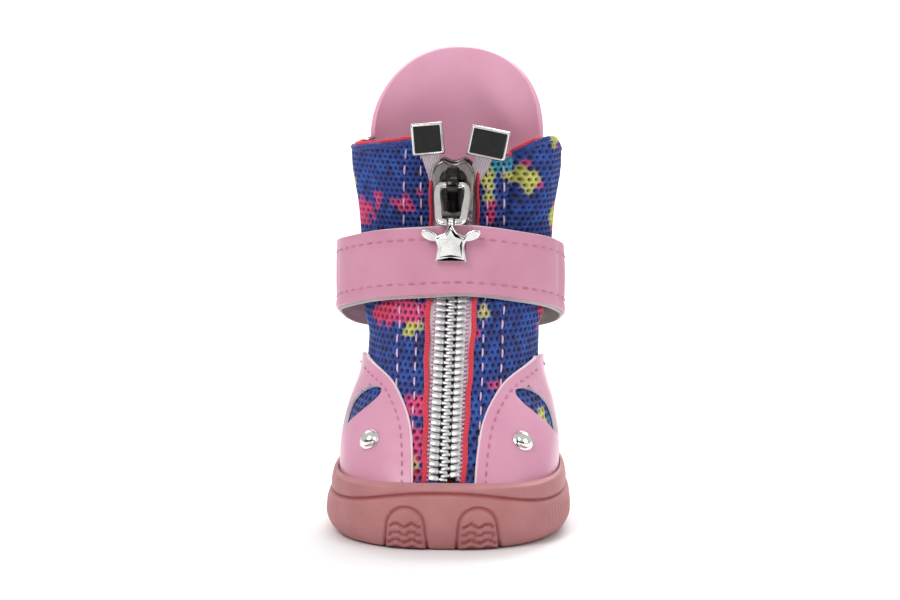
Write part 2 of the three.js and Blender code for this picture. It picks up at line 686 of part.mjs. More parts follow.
// A folded clip: a sheet bent over the end of the tape, open below.
function clipGeometry(clip) {
  const back = CLIP_BACK_Y;
  const front = back - CLIP_DEPTH;
  const fold = shapeOf([
    [front, -clip.height / 2],
    [front + CLIP_SHEET, -clip.height / 2],
    [front + CLIP_SHEET, clip.height / 2 - CLIP_SHEET],
    [back - CLIP_SHEET, clip.height / 2 - CLIP_SHEET],
    [back - CLIP_SHEET, -clip.height / 2],
    [back, -clip.height / 2],
    [back, clip.height / 2],
    [front, clip.height / 2],
  ]);
  const sheet = sideBlock(fold, -clip.width / 2, clip.width / 2);
  sheet.rotateY(-clip.turn);
  sheet.translate(clip.x, 0, clip.z);
  return sheet;
}

// ---- Pull and charm, both drawn about their own hinge line --------------------------------

// The wire of the pull, from one end up round the slider's bridge and down to the other end.
function pullGeometry() {
  const half = PULL_WIRE.map((p) => new THREE.Vector3(
    p.x, (EYE_Y - PULL_Y) * p.down, (EYE_Z - PULL_Z) * p.down));
  const other = half.map((p) => new THREE.Vector3(-p.x, p.y, p.z)).reverse();
  const path = new THREE.CatmullRomCurve3([...half, ...other], false, 'centripetal');
  const section = new THREE.Shape();
  section.absarc(0, 0, WIRE_RADIUS, 0, Math.PI * 2, false);
  return new THREE.ExtrudeGeometry(section, { steps: 40, curveSegments: 4, extrudePath: path });
}

// A star with two small side lobes, hung by a narrow eye between the ends of the pull.
function charmSolid() {
  const star = new THREE.Shape();
  for (let i = 0; i < CHARM_TIPS * 2; i++) {
    const radius = i % 2 ? CHARM_INNER_RADIUS : CHARM_RADIUS;
    const turn = Math.PI / 2 + (i / CHARM_TIPS) * Math.PI;
    const [u, v] = [radius * Math.cos(turn), radius * Math.sin(turn) - CHARM_DROP];
    if (i) star.lineTo(u, v);
    else star.moveTo(u, v);
  }
  star.closePath();
  const half = CHARM_THICKNESS / 2;
  const neck = EYE_HALF_GAP - GAP;
  let charm = solid(frontBlock(star, -half, half));
  charm = charm.add(solid(boxBlock(-neck, neck, -half, half, -CHARM_DROP, 0)));
  const eyeRadius = WIRE_RADIUS + CHARM_EYE_WALL;
  const eye = new THREE.CylinderGeometry(eyeRadius, eyeRadius, 2 * neck, 14);
  eye.rotateZ(Math.PI / 2);
  charm = charm.add(solid(eye));
  for (const side of [-1, 1]) {
    const lobe = new THREE.Shape();
    lobe.absellipse(side * LOBE.x, LOBE.rise - CHARM_DROP, LOBE.length / 2, LOBE.width / 2,
      0, Math.PI * 2, false, side * LOBE.lean);
    charm = charm.add(solid(frontBlock(lobe, -half, half)));
  }
  return charm;
}

// ---- The boot -------------------------------------------------------------------------

addPiece('outsole', geometryOf(soleSolid()), 'rubber');
addPiece('insole', geometryOf(insoleSolid()), 'foam');
addPiece('upper', geometryOf(upperSolid()), 'mesh');
addPiece('side_panel_left', geometryOf(panelSolid(-1)), 'panel');
addPiece('side_panel_right', geometryOf(panelSolid(1)), 'panel');
addPiece('rivet_left', rivetGeometry(-1), 'silver');
addPiece('rivet_right', rivetGeometry(1), 'silver');
addPiece('strap', strapGeometry(), 'strap');
addPiece('back_tab', geometryOf(tabSolid()), 'panel');

addPiece('zip_tape_left', zipStrip(-TAPE_OUTER_X, -TAPE_INNER_X, ZIP_DEPTH, TAPE_THICKNESS, TAPE_TOP_Z), 'tape');
addPiece('zip_tape_right', zipStrip(TAPE_INNER_X, TAPE_OUTER_X, ZIP_DEPTH, TAPE_THICKNESS, TAPE_TOP_Z), 'tape');
addPiece('zip_chain', geometryOf(chainSolid()), 'silver');
addPiece('zip_slider', geometryOf(sliderSolid()), 'gunmetal');
for (const clip of CLIPS) {
  addPiece(clip.name, clipGeometry(clip), 'silver');
}

const pull = addPiece('zip_pull', pullGeometry(), 'silver');
pull.position.set(0, PULL_Y, PULL_Z);
const charm = addPiece('zip_charm', geometryOf(charmSolid()), 'silver');
charm.position.set(0, EYE_Y, EYE_Z);

export default group;
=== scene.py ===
# %% [markdown]
# # A zip-up dog boot in coloured knit, coated cloth and rubber
#
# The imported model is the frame: it holds the real sizes, the bodies and the joints. Every piece below
# is built in that frame, in millimetres turned into metres, and rides on one of its bodies.

# %% Load the frame
import math

import bpy
import numpy as np
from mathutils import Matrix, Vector


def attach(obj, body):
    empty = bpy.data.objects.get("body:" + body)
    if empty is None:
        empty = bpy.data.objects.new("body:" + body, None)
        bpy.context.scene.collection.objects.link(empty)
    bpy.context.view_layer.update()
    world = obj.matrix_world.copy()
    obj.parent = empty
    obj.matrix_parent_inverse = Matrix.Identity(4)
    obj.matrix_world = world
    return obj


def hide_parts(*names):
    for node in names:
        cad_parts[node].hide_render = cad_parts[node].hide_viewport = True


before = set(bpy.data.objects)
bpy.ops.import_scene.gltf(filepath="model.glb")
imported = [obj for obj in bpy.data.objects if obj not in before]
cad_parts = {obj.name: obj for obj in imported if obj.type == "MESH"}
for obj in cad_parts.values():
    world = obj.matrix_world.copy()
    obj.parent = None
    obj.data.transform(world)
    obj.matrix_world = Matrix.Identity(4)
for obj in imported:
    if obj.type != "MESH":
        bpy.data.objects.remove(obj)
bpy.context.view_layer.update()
MM = 0.001

# %% [markdown]
# ## Camera
#
# A boot this small is looked at from a little above its toe. A long lens from over a metre away keeps
# the uprights nearly parallel, so the camera stands far off and is aimed at the boot's middle.

# %% Camera
VIEW_ELEVATION = math.radians(11.5)
VIEW_TURN = math.radians(3.2)    # the toe points this much to the left of the camera
VIEW_DISTANCE = 1.16
VIEW_LENS = 250.0
AIM = Vector((0.0, 0.0, 0.0415))

camera_data = bpy.data.cameras.new("camera")
camera_data.lens = VIEW_LENS
camera = bpy.data.objects.new("camera", camera_data)
bpy.context.scene.collection.objects.link(camera)
camera.location = VIEW_DISTANCE * Vector((
    math.sin(VIEW_TURN) * math.cos(VIEW_ELEVATION),
    -math.cos(VIEW_TURN) * math.cos(VIEW_ELEVATION),
    math.sin(VIEW_ELEVATION),
))
camera.rotation_mode = "QUATERNION"
camera.rotation_quaternion = (AIM - camera.location).to_track_quat("-Z", "Y")
bpy.context.scene.camera = camera
print("camera at", [round(v, 3) for v in camera.location])

# %% [markdown]
# ## Meshes from arrays
#
# Most pieces here are sheets and tubes with thousands of small steps, so their points are worked out
# with numpy and turned into a mesh in one go. These few helpers do that for every piece.


# %% Mesh helpers
def piece(name, points, faces, looks, slot, body="boot", stands_for=()):
    """A smooth mesh from points in millimetres, riding on a body of the frame."""
    mesh = bpy.data.meshes.new(name)
    mesh.from_pydata((np.asarray(points, float) * MM).tolist(), [], faces)
    mesh.polygons.foreach_set("use_smooth", [True] * len(mesh.polygons))
    mesh.update()
    obj = bpy.data.objects.new(name, mesh)
    bpy.context.scene.collection.objects.link(obj)
    for look in looks:
        mesh.materials.append(look)
    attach(obj, body)
    if stands_for:
        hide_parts(*stands_for)
    print(name, len(mesh.vertices), "points", len(mesh.polygons), "faces")
    return obj


def grid_faces(rows, columns, round_columns=False, round_rows=False):
    """Four-sided faces between the points of a grid that is listed row by row."""
    row = np.arange(rows if round_rows else rows - 1)[:, None]
    column = np.arange(columns if round_columns else columns - 1)[None, :]
    right = (column + 1) % columns
    up = (row + 1) % rows
    corners = [row * columns + column, row * columns + right, up * columns + right, up * columns + column]
    return np.stack(corners, -1).reshape(-1, 4).tolist()


def end_faces(rings, sides):
    """The two faces that close a stack of rings."""
    last = (rings - 1) * sides
    return [list(range(sides))[::-1], list(range(last, last + sides))]


def stack_faces(rings, sides):
    """A closed form's faces, from its first ring of points to its last."""
    return grid_faces(rings, sides, round_columns=True) + end_faces(rings, sides)


def joined(parts):
    """Several lists of points and faces as one."""
    faces = []
    start = 0
    for points, part_faces in parts:
        faces += [[start + i for i in face] for face in part_faces]
        start += len(points)
    return np.concatenate([np.asarray(points, float) for points, _ in parts]), faces


def unit(vectors):
    return vectors / np.maximum(np.linalg.norm(vectors, axis=-1, keepdims=True), 1e-12)


def smoothstep(low, high, value):
    t = np.clip((value - low) / (high - low), 0, 1)
    return t * t * (3 - 2 * t)


def curve_through(places, values, at):
    """A smooth curve through a table's rows, read at one or many places."""
    places = np.asarray(places, float)
    values = np.asarray(values, float)
    at = np.clip(at, places[0], places[-1])
    k = np.clip(np.searchsorted(places, at, side="right") - 1, 0, len(places) - 2)
    slopes = np.gradient(values, places)
    slopes[1:-1] = (values[2:] - values[:-2]) / (places[2:] - places[:-2])
    span = places[k + 1] - places[k]
    t = (at - places[k]) / span
    return ((2 * t**3 - 3 * t**2 + 1) * values[k] + (t**3 - 2 * t**2 + t) * span * slopes[k]
            + (3 * t**2 - 2 * t**3) * values[k + 1] + (t**3 - t**2) * span * slopes[k + 1])


def tube(path, radius, sides=10, closed=False, flat=1.0, facing=None):
    """A tube round a path. flat squeezes it along the facing direction at each point."""
    path = np.asarray(path, float)
    count = len(path)
    if closed:
        along = unit(np.roll(path, -1, 0) - np.roll(path, 1, 0))
    else:
        along = unit(np.gradient(path, axis=0))
    if facing is None:
        facing = np.zeros_like(path)
        facing[0] = unit(np.cross(along[0], [0.31, 0.87, 0.38]))
        for k in range(1, count):
            facing[k] = unit(facing[k - 1] - along[k] * np.dot(facing[k - 1], along[k]))
    facing = unit(facing - along * np.sum(facing * along, -1, keepdims=True))
    beside = np.cross(along, facing)
    turn = np.arange(sides) * 2 * math.pi / sides
    size = np.broadcast_to(np.asarray(radius, float), (count,))[:, None, None]
    ring = (facing[:, None] * np.cos(turn)[None, :, None] * flat
            + beside[:, None] * np.sin(turn)[None, :, None]) * size
    points = (path[:, None] + ring).reshape(-1, 3)
    faces = grid_faces(count, sides, round_columns=True, round_rows=closed)
    if not closed:
        faces += end_faces(count, sides)
    return points, faces


def resampled(path, pitch):
    """Points at an even pitch along a path, and their places along it from 0 to 1."""
    steps = np.linalg.norm(np.diff(path, axis=0), axis=1)
    reached = np.concatenate([[0], np.cumsum(steps)])
    count = max(2, int(round(reached[-1] / pitch)) + 1)
    wanted = np.linspace(0, reached[-1], count)
    return np.stack([np.interp(wanted, reached, path[:, i]) for i in range(3)], -1), wanted / reached[-1]


STITCH_RINGS = np.array([-0.5, -0.4, -0.15, 0.15, 0.4, 0.5])
STITCH_GIRTH = np.array([0.3, 0.8, 1.0, 1.0, 0.8, 0.3])
STITCH_SIDES = 6
STITCH_BOW = 1.4                 # above 1, a stitch's ends dip under the surface


def stitches(path, normals, length, gap, thickness, proud=0.5):
    """A row of separate stitches on a surface: each is a short thread, its ends dipping in."""
    path = np.asarray(path, float)
    spots, share = resampled(path, length + gap)
    old = np.linspace(0, 1, len(path))
    out = unit(np.stack([np.interp(share, old, np.asarray(normals)[:, i]) for i in range(3)], -1))
    along = unit(np.gradient(spots, axis=0))
    out = unit(out - along * np.sum(out * along, -1, keepdims=True))
    side = np.cross(along, out)
    parts = []
    turn = np.arange(STITCH_SIDES) * 2 * math.pi / STITCH_SIDES
    rise = proud * thickness * (1 - STITCH_BOW * (2 * STITCH_RINGS) ** 2)
    for spot, t, n, s in zip(spots, along, out, side):
        middle = spot + t * (STITCH_RINGS * length)[:, None] + n * rise[:, None]
        ring = (n * np.cos(turn)[:, None] + s * np.sin(turn)[:, None]) * thickness / 2
        points = (middle[:, None] + ring[None] * STITCH_GIRTH[:, None, None]).reshape(-1, 3)
        parts.append((points, stack_faces(len(STITCH_RINGS), STITCH_SIDES)))
    return joined(parts)


SOFTEN_ABOVE = math.radians(50)  # edges sharper than this are rounded


def thicken(obj, thickness, rim_look=0, inner_look=0, bevel=0.15):
    """Gives a sheet its thickness, inwards, with softened edges."""
    solid = obj.modifiers.new("thickness", "SOLIDIFY")
    solid.thickness = thickness * MM
    solid.offset = -1
    solid.material_offset_rim = rim_look
    solid.material_offset = inner_look
    soften = obj.modifiers.new("soft edge", "BEVEL")
    soften.width = bevel * MM
    soften.segments = 2
    soften.limit_method = "ANGLE"
    soften.angle_limit = SOFTEN_ABOVE
    soften.harden_normals = False


# %% [markdown]
# ## The last
#
# Knit, panels, lining and tab all follow one foot-shaped form. Its level sections are a short table,
# the same one that the frame was built with. A point on it is found from an angle round the leg,
# 0 at the toe, a height, and how far out from the knit's outer face it lies.

# %% The last's sections
SECTION_COLUMNS = ("z", "front", "back", "half", "widest", "round")
SECTIONS = np.array([
    (2.0, -24.2, 25.2, 18.5, -3.0, 2.45),
    (11.0, -20.3, 26.4, 19.0, -2.0, 2.40),
    (17.0, -15.6, 26.9, 18.8, 0.0, 2.30),
    (22.0, -11.4, 27.2, 17.7, 3.5, 2.20),
    (27.0, -7.1, 27.5, 16.0, 8.0, 2.10),
    (32.0, -2.8, 27.8, 15.8, 12.0, 2.05),
    (37.0, 1.8, 28.4, 16.8, 15.0, 2.00),
    (42.5, 7.8, 29.5, 17.2, 18.5, 1.95),
    (48.0, 12.8, 31.0, 17.6, 21.0, 1.90),
    (56.0, 13.9, 32.0, 18.3, 22.0, 1.90),
    (64.0, 13.8, 32.2, 19.5, 22.0, 1.90),
    (86.0, 10.0, 28.6, 19.2, 18.6, 1.90),
])
COLLAR_FRONT = 69.6
COLLAR_SIDE = 67.2
COLLAR_BACK = 66.4
THROAT = 4.3                     # half the width of the opening that the zip closes


def section(column, z):
    return curve_through(SECTIONS[:, 0], SECTIONS[:, SECTION_COLUMNS.index(column)], z)


def outline(angle, z, front, back, half, widest, squareness, out):
    """Points of a level outline: its half width, and its front and back, each a share of an ellipse."""
    power = 2 / squareness
    sine = np.sin(angle)
    cosine = np.cos(angle)
    across = np.sign(sine) * np.abs(sine) ** power
    along = -np.sign(cosine) * np.abs(cosine) ** power
    reach = np.where(along < 0, widest - front, back - widest)
    return np.stack(np.broadcast_arrays(across * (half + out), widest + along * (reach + out), z), -1)


def last_point(angle, z, out):
    return outline(angle, z, section("front", z), section("back", z), section("half", z),
                   section("widest", z), section("round", z), out)


def collar_height(angle):
    front = np.maximum(0, np.cos(angle)) ** 2
    back = np.maximum(0, -np.cos(angle)) ** 2
    return COLLAR_SIDE + front * (COLLAR_FRONT - COLLAR_SIDE) + back * (COLLAR_BACK - COLLAR_SIDE)


def angle_from_x(x, z, out, behind=False):
    """The angle at which the last is x from the middle, in front or behind."""
    share = np.clip(np.abs(x) / (section("half", z) + out), 0, 1) ** (section("round", z) / 2)
    angle = np.arcsin(share)
    return np.sign(x) * np.where(behind, math.pi - angle, angle)


def angle_from_y(y, z, out, side):
    """The angle on one side at which the last has a depth y."""
    widest = section("widest", z)
    reach = np.where(y < widest, widest - section("front", z), section("back", z) - widest) + out
    share = np.clip(np.abs(y - widest) / reach, 0, 1) ** (section("round", z) / 2)
    turn = np.arccos(share)
    return side * np.where(y < widest, turn, math.pi - turn)


# %% [markdown]
# A grid with even steps of angle would bunch up at the corners of a squarish outline. This table
# turns a share of the way round, by length, into the angle, so that knit cells come out even.

# %% Even steps round the last
TABLE_Z = np.linspace(2, 86, 85)
ROUND_STEPS = 721
TABLE_ANGLE = np.linspace(-math.pi, math.pi, ROUND_STEPS)
SHARE_STEPS = np.linspace(0, 1, ROUND_STEPS)
ANKLE_Z = 32
rounds = last_point(TABLE_ANGLE[None, :], TABLE_Z[:, None], 0.0)
lengths = np.linalg.norm(np.diff(rounds, axis=1), axis=-1)
reached = np.concatenate([np.zeros((len(TABLE_Z), 1)), np.cumsum(lengths, 1)], 1)
girth = reached[:, -1]
shares = reached / girth[:, None]
EVEN_ANGLE = np.stack([np.interp(SHARE_STEPS, row, TABLE_ANGLE) for row in shares])
print("girth at the ankle", round(float(np.interp(ANKLE_Z, TABLE_Z, girth)), 1), "mm")


JUST_INSIDE = 0.001              # keeps the last place inside the table's last step


def read_table(table, row_places, column_places, row, column):
    """A value between the rows and columns of a table."""
    r = np.interp(row, row_places, np.arange(len(row_places)))
    c = np.interp(column, column_places, np.arange(len(column_places)))
    r = np.clip(r, 0, len(row_places) - 1 - JUST_INSIDE)
    c = np.clip(c, 0, len(column_places) - 1 - JUST_INSIDE)
    r0, c0 = r.astype(int), c.astype(int)
    u, v = r - r0, c - c0
    return ((table[r0, c0] * (1 - v) + table[r0, c0 + 1] * v) * (1 - u)
            + (table[r0 + 1, c0] * (1 - v) + table[r0 + 1, c0 + 1] * v) * u)


def even_angle(share, z):
    """The angle at a share of the way round: 0.5 is the toe, 0 and 1 are the heel."""
    whole = np.floor(share)
    share, z = np.broadcast_arrays(share - whole, z)
    return read_table(EVEN_ANGLE, TABLE_Z, SHARE_STEPS, z, share) + whole * 2 * math.pi


def even_share(angle, z):
    angle, z = np.broadcast_arrays(np.asarray(angle, float), z)
    return read_table(shares, TABLE_Z, TABLE_ANGLE, z, angle)


# %% [markdown]
# ## Creases
#
# Empty, the knit shaft doesn't stand like a pipe. It has a soft fold at its front right corner, a
# hollow beside the zip and slack rings at the ankle. Each is a row of a table: where it is, how long
# and wide, how it is turned, and how far the cloth moves in or out there.

# %% Folds of the knit
# Turn in degrees, height, half length, half width, slant in degrees and depth.
FOLDS = [
    (39.0, 62.0, 10.0, 1.4, 84, -2.3),   # the crease beside the rolled corner
    (60.0, 63.5, 9.0, 4.0, 86, 1.1),     # the rolled corner itself
    (-34.0, 60.0, 8.0, 3.0, 80, 0.35),
    (-62.0, 60.0, 9.0, 2.2, 88, -0.5),
    (-20.0, 37.0, 6.0, 2.2, 10, -0.35),
    (24.0, 35.5, 7.0, 2.2, -12, -0.4),
    (-42.0, 33.0, 8.0, 2.0, -8, 0.35),
    (50.0, 32.0, 8.0, 2.0, 8, 0.3),
    (100.0, 36.0, 9.0, 2.4, 14, -0.7),
    (-104.0, 36.0, 9.0, 2.4, -14, -0.7),
    (112.0, 58.0, 9.0, 3.2, 70, 0.5),
    (-116.0, 59.0, 9.0, 3.2, -70, 0.45),
    (150.0, 52.0, 8.0, 3.0, 40, -0.5),
    (-152.0, 54.0, 8.0, 3.0, -36, -0.5),
]
FOLDS_FROM, FOLDS_FULL = 10, 16  # below this the sole's cup holds the knit smooth


def wrapped(angle):
    """The same angle, between half a turn back and half a turn on."""
    return (angle + math.pi) % (2 * math.pi) - math.pi


def fold_shape(u, v, half_long, half_wide, slant):
    """A soft fold's height, 1 at its middle: long one way, narrow the other, turned by its slant."""
    c, s = math.cos(math.radians(slant)), math.sin(math.radians(slant))
    return np.exp(-(((u * c + v * s) / half_long) ** 2) - ((v * c - u * s) / half_wide) ** 2)


def crease(angle, z):
    """How far the knit stands out from the last at a place."""
    total = np.zeros(np.broadcast(angle, z).shape)
    for turn, height, half_long, half_wide, slant, depth in FOLDS:
        u = wrapped(angle - math.radians(turn)) * section("half", np.asarray(height, float))
        total = total + depth * fold_shape(u, z - height, half_long, half_wide, slant)
    return total * smoothstep(FOLDS_FROM, FOLDS_FULL, z)


def knit_point(angle, z, out=0.0):
    """A point of the knit's outer face, folds and all."""
    return last_point(angle, z, out + crease(angle, z))


TURN_STEP, RISE_STEP = 0.01, 0.2  # small steps of angle and height, for a surface's directions


def normal_of(surface, angle, z):
    """Which way a surface faces, from its points a small step away on all four sides."""
    beside = surface(angle + TURN_STEP, z) - surface(angle - TURN_STEP, z)
    above = surface(angle, z + RISE_STEP) - surface(angle, z - RISE_STEP)
    return unit(np.cross(beside, above))


print("folds", len(FOLDS), "deepest", min(row[-1] for row in FOLDS), "mm")

# %% [markdown]
# ## Finishes shared by several pieces
#
# Grain, weave, painted shade in hollows, and metal scuffs that are partly painted highlight come back on
# piece after piece, so each is a node group with named sockets. The group only works out colours and
# heights. The shader stays in the material, where its plain numbers are set on its own sockets.


# %% Node group helpers
def rgb(red, green, blue):
    """An everyday screen colour, 0 to 255, as the linear colour that the shaders take."""
    values = np.array([red, green, blue]) / 255
    linear = np.where(values <= 0.04045, values / 12.92, ((values + 0.055) / 1.055) ** 2.4)
    return (*linear.tolist(), 1.0)


class Nodes:
    """A short way to add nodes to a tree and link them."""

    def __init__(self, tree):
        self.tree = tree

    def add(self, kind, settings=None, **inputs):
        node = self.tree.nodes.new("ShaderNode" + kind)
        for name, value in (settings or {}).items():
            setattr(node, name, value)
        for name, value in inputs.items():
            self.feed(node, name.replace("_", " "), value)
        return node

    def feed(self, node, name, value):
        socket = node.inputs[int(name)] if name.isdigit() else node.inputs[name]
        if isinstance(value, bpy.types.NodeSocket):
            self.tree.links.new(value, socket)
        else:
            socket.default_value = value

    def math(self, operation, a, b=0.0, c=0.0):
        node = self.tree.nodes.new("ShaderNodeMath")
        node.operation = operation
        for place, value in enumerate((a, b, c)):
            self.feed(node, str(place), value)
        return node.outputs[0]

    def mix(self, share, a, b, blend="MIX"):
        node = self.tree.nodes.new("ShaderNodeMix")
        node.data_type = "RGBA"
        node.blend_type = blend
        sockets = {s.identifier: s for s in node.inputs}
        for name, value in (("Factor_Float", share), ("A_Color", a), ("B_Color", b)):
            if isinstance(value, bpy.types.NodeSocket):
                self.tree.links.new(value, sockets[name])
            else:
                sockets[name].default_value = value
        return next(s for s in node.outputs if s.identifier == "Result_Color")


def new_group(name, inputs, outputs):
    """An empty node group with named sockets, and the nodes at its two ends."""
    tree = bpy.data.node_groups.new(name, "ShaderNodeTree")
    kinds = {"colour": "NodeSocketColor", "value": "NodeSocketFloat"}
    for socket_name, kind, start in inputs:
        socket = tree.interface.new_socket(socket_name, in_out="INPUT", socket_type=kinds[kind])
        socket.default_value = start
    for socket_name, kind in outputs:
        tree.interface.new_socket(socket_name, in_out="OUTPUT", socket_type=kinds[kind])
    entry = tree.nodes.new("NodeGroupInput")
    leave = tree.nodes.new("NodeGroupOutput")
    return tree, Nodes(tree), entry.outputs, leave.inputs


WHITE = (1.0, 1.0, 1.0, 1.0)

# %% [markdown]
# **Soft grain** is the fine unevenness that every moulded or coated surface has: broad cloudy
# changes of shade, and a small pebble that catches the light.


# %% Group: soft grain
def soft_grain_group():
    tree, nodes, given, out = new_group(
        "soft grain",
        [("Colour", "colour", WHITE), ("Shade", "colour", WHITE), ("Cloud Size", "value", 0.01),
         ("Pebble Size", "value", 0.0005), ("Cloud Amount", "value", 0.3)],
        [("Colour", "colour"), ("Height", "value"), ("Cloud", "value")])
    place = nodes.add("TexCoord").outputs["Object"]
    cloud = nodes.add("TexNoise", Vector=place, Scale=nodes.math("DIVIDE", 1.0, given["Cloud Size"]),
                      Detail=3.0).outputs["Fac"]
    pebble = nodes.add("TexVoronoi", {"feature": "SMOOTH_F1"}, Vector=place,
                       Scale=nodes.math("DIVIDE", 1.0, given["Pebble Size"])).outputs["Distance"]
    speck = nodes.add("TexNoise", Vector=place, Detail=4.0,
                      Scale=nodes.math("DIVIDE", 2.5, given["Pebble Size"])).outputs["Fac"]
    cloudy = nodes.add("MapRange", Value=cloud, From_Min=0.35, From_Max=0.65).outputs["Result"]
    share = nodes.math("MULTIPLY", cloudy, given["Cloud Amount"])
    fine = nodes.math("MULTIPLY", nodes.math("SUBTRACT", speck, 0.5), 0.16)
    shaded = nodes.mix(nodes.math("ADD", share, fine), given["Colour"], given["Shade"])
    tree.links.new(shaded, out["Colour"])
    tree.links.new(nodes.math("MULTIPLY_ADD", speck, 0.4, pebble), out["Height"])
    tree.links.new(cloudy, out["Cloud"])
    return tree


SOFT_GRAIN = soft_grain_group()
print(SOFT_GRAIN.name, len(SOFT_GRAIN.nodes), "nodes")

# %% [markdown]
# ** Yarn** is the look of threads: painted shade between them, and a little lighter and fuzzier on top.
# Two crossed sets of bands make a plain weave, which suits the zip's tape, the lining and the
# insole's cloth.


# %% Group: yarn
def yarn_group():
    tree, nodes, given, out = new_group(
        "yarn",
        [("Colour", "colour", WHITE), ("Gap Colour", "colour", WHITE), ("Thread Size", "value", 0.0005),
         ("Slant", "value", 0.0)],
        [("Colour", "colour"), ("Height", "value")])
    place = nodes.add("SeparateXYZ", Vector=nodes.add("TexCoord").outputs["Object"]).outputs
    flat = nodes.math("MULTIPLY_ADD", place["Y"], 0.6, place["X"])
    rise = nodes.math("MULTIPLY_ADD", flat, given["Slant"], place["Z"])
    pitch = nodes.math("DIVIDE", math.pi, given["Thread Size"])
    warp = nodes.math("ABSOLUTE", nodes.math("SINE", nodes.math("MULTIPLY", flat, pitch)))
    weft = nodes.math("ABSOLUTE", nodes.math("SINE", nodes.math("MULTIPLY", rise, pitch)))
    thread = nodes.math("MULTIPLY", warp, weft)
    noise = nodes.add("TexNoise", Scale=nodes.math("DIVIDE", 0.7, given["Thread Size"]), Detail=3.0,
                      Vector=nodes.add("TexCoord").outputs["Object"]).outputs["Fac"]
    light = nodes.math("MULTIPLY_ADD", noise, 0.5, nodes.math("MULTIPLY", thread, 0.75))
    tree.links.new(nodes.mix(light, given["Gap Colour"], given["Colour"]), out["Colour"])
    tree.links.new(nodes.math("MULTIPLY_ADD", noise, 0.3, thread), out["Height"])
    return tree


YARN = yarn_group()
print(YARN.name, len(YARN.nodes), "nodes")

# %% [markdown]
# ** Painted shade** darkens what lies deep: grooves in rubber, the holes of the knit. The mesh itself
# says how much shade each point gets, in an attribute that is worked out while the piece is built.


# %% Group: painted shade
def recess_group():
    tree, nodes, given, out = new_group(
        "recess_shade",
        [("Colour", "colour", WHITE), ("Deep Colour", "colour", WHITE), ("Strength", "value", 1.0)],
        [("Colour", "colour"), ("Mask", "value")])
    deep = nodes.add("Attribute", {"attribute_name": "deep"}).outputs["Fac"]
    noise = nodes.add("TexNoise", Vector=nodes.add("TexCoord").outputs["Object"], Scale=900.0,
                      Detail=3.0).outputs["Fac"]
    broken = nodes.math("MULTIPLY", deep, nodes.math("MULTIPLY_ADD", noise, 0.6, 0.7))
    mask = nodes.add("Clamp", Value=nodes.math("MULTIPLY", broken, given["Strength"])).outputs["Result"]
    tree.links.new(nodes.mix(mask, given["Colour"], given["Deep Colour"]), out["Colour"])
    tree.links.new(mask, out["Mask"])
    return tree


RECESS_SHADE = recess_group()
print(RECESS_SHADE.name, len(RECESS_SHADE.nodes), "nodes")

# %% [markdown]
# ** Wear and highlight on metal** breaks up the shine of plated metal with fine rubbing marks and dull
# patches. On the gunmetal the patches are lighter instead, partly a painted highlight.


# %% Group: wear and highlight on metal
def metal_wear_group():
    tree, nodes, given, out = new_group(
        "metal wear and highlight",
        [("Colour", "colour", WHITE), ("Worn Colour", "colour", WHITE), ("Roughness", "value", 0.25)],
        [("Colour", "colour"), ("Roughness", "value"), ("Height", "value")])
    place = nodes.add("TexCoord").outputs["Object"]
    stretched = nodes.add("Mapping", Vector=place, Scale=(1.0, 1.0, 0.25)).outputs["Vector"]
    rub = nodes.add("TexNoise", Vector=stretched, Scale=5200.0, Detail=4.0).outputs["Fac"]
    patch = nodes.add("TexNoise", Vector=place, Scale=420.0, Detail=3.0).outputs["Fac"]
    wear_and_highlight = nodes.add("MapRange", Value=patch, From_Min=0.45, From_Max=0.7).outputs["Result"]
    tree.links.new(nodes.mix(nodes.math("MULTIPLY", wear_and_highlight, 0.5), given["Colour"], given["Worn Colour"]),
                   out["Colour"])
    marks = nodes.math("MULTIPLY_ADD", nodes.math("SUBTRACT", rub, 0.5), 0.3, given["Roughness"])
    tree.links.new(nodes.math("MULTIPLY_ADD", wear_and_highlight, 0.1, marks), out["Roughness"])
    tree.links.new(rub, out["Height"])
    return tree


METAL_WEAR_AND_HIGHLIGHT = metal_wear_group()
print(METAL_WEAR_AND_HIGHLIGHT.name, len(METAL_WEAR_AND_HIGHLIGHT.nodes), "nodes")


# %% Material helpers
def material(name, **sockets):
    """A material with one shader, whose plain values are set on its own sockets."""
    made = bpy.data.materials.new(name)
    made.use_nodes = True
    nodes = Nodes(made.node_tree)
    shader = made.node_tree.nodes["Principled BSDF"]
    for socket, value in sockets.items():
        shader.inputs[socket.replace("_", " ")].default_value = value
    return made, nodes, shader


def group_node(nodes, tree, **inputs):
    node = nodes.add("Group", {"node_tree": tree})
    for name, value in inputs.items():
        nodes.feed(node, name.replace("_", " "), value)
    return node.outputs


def bump(nodes, shader, height, depth, strength=1.0):
    """Small relief, of a depth in metres."""
    node = nodes.add("Bump", Height=height, Distance=depth, Strength=strength)
    nodes.feed(shader, "Normal", node.outputs["Normal"])


# %% [markdown]
# ## Coated cloth
#
# Strap, side panels and back tab are cloth with a soft coat of pink. The coat is smooth, with a very
# fine pebble, and its shade drifts a little. The panels are shinier than the strap. Where the cloth is
# cut, a thin pale edge of the core shows, and under the strap its grey-white backing.


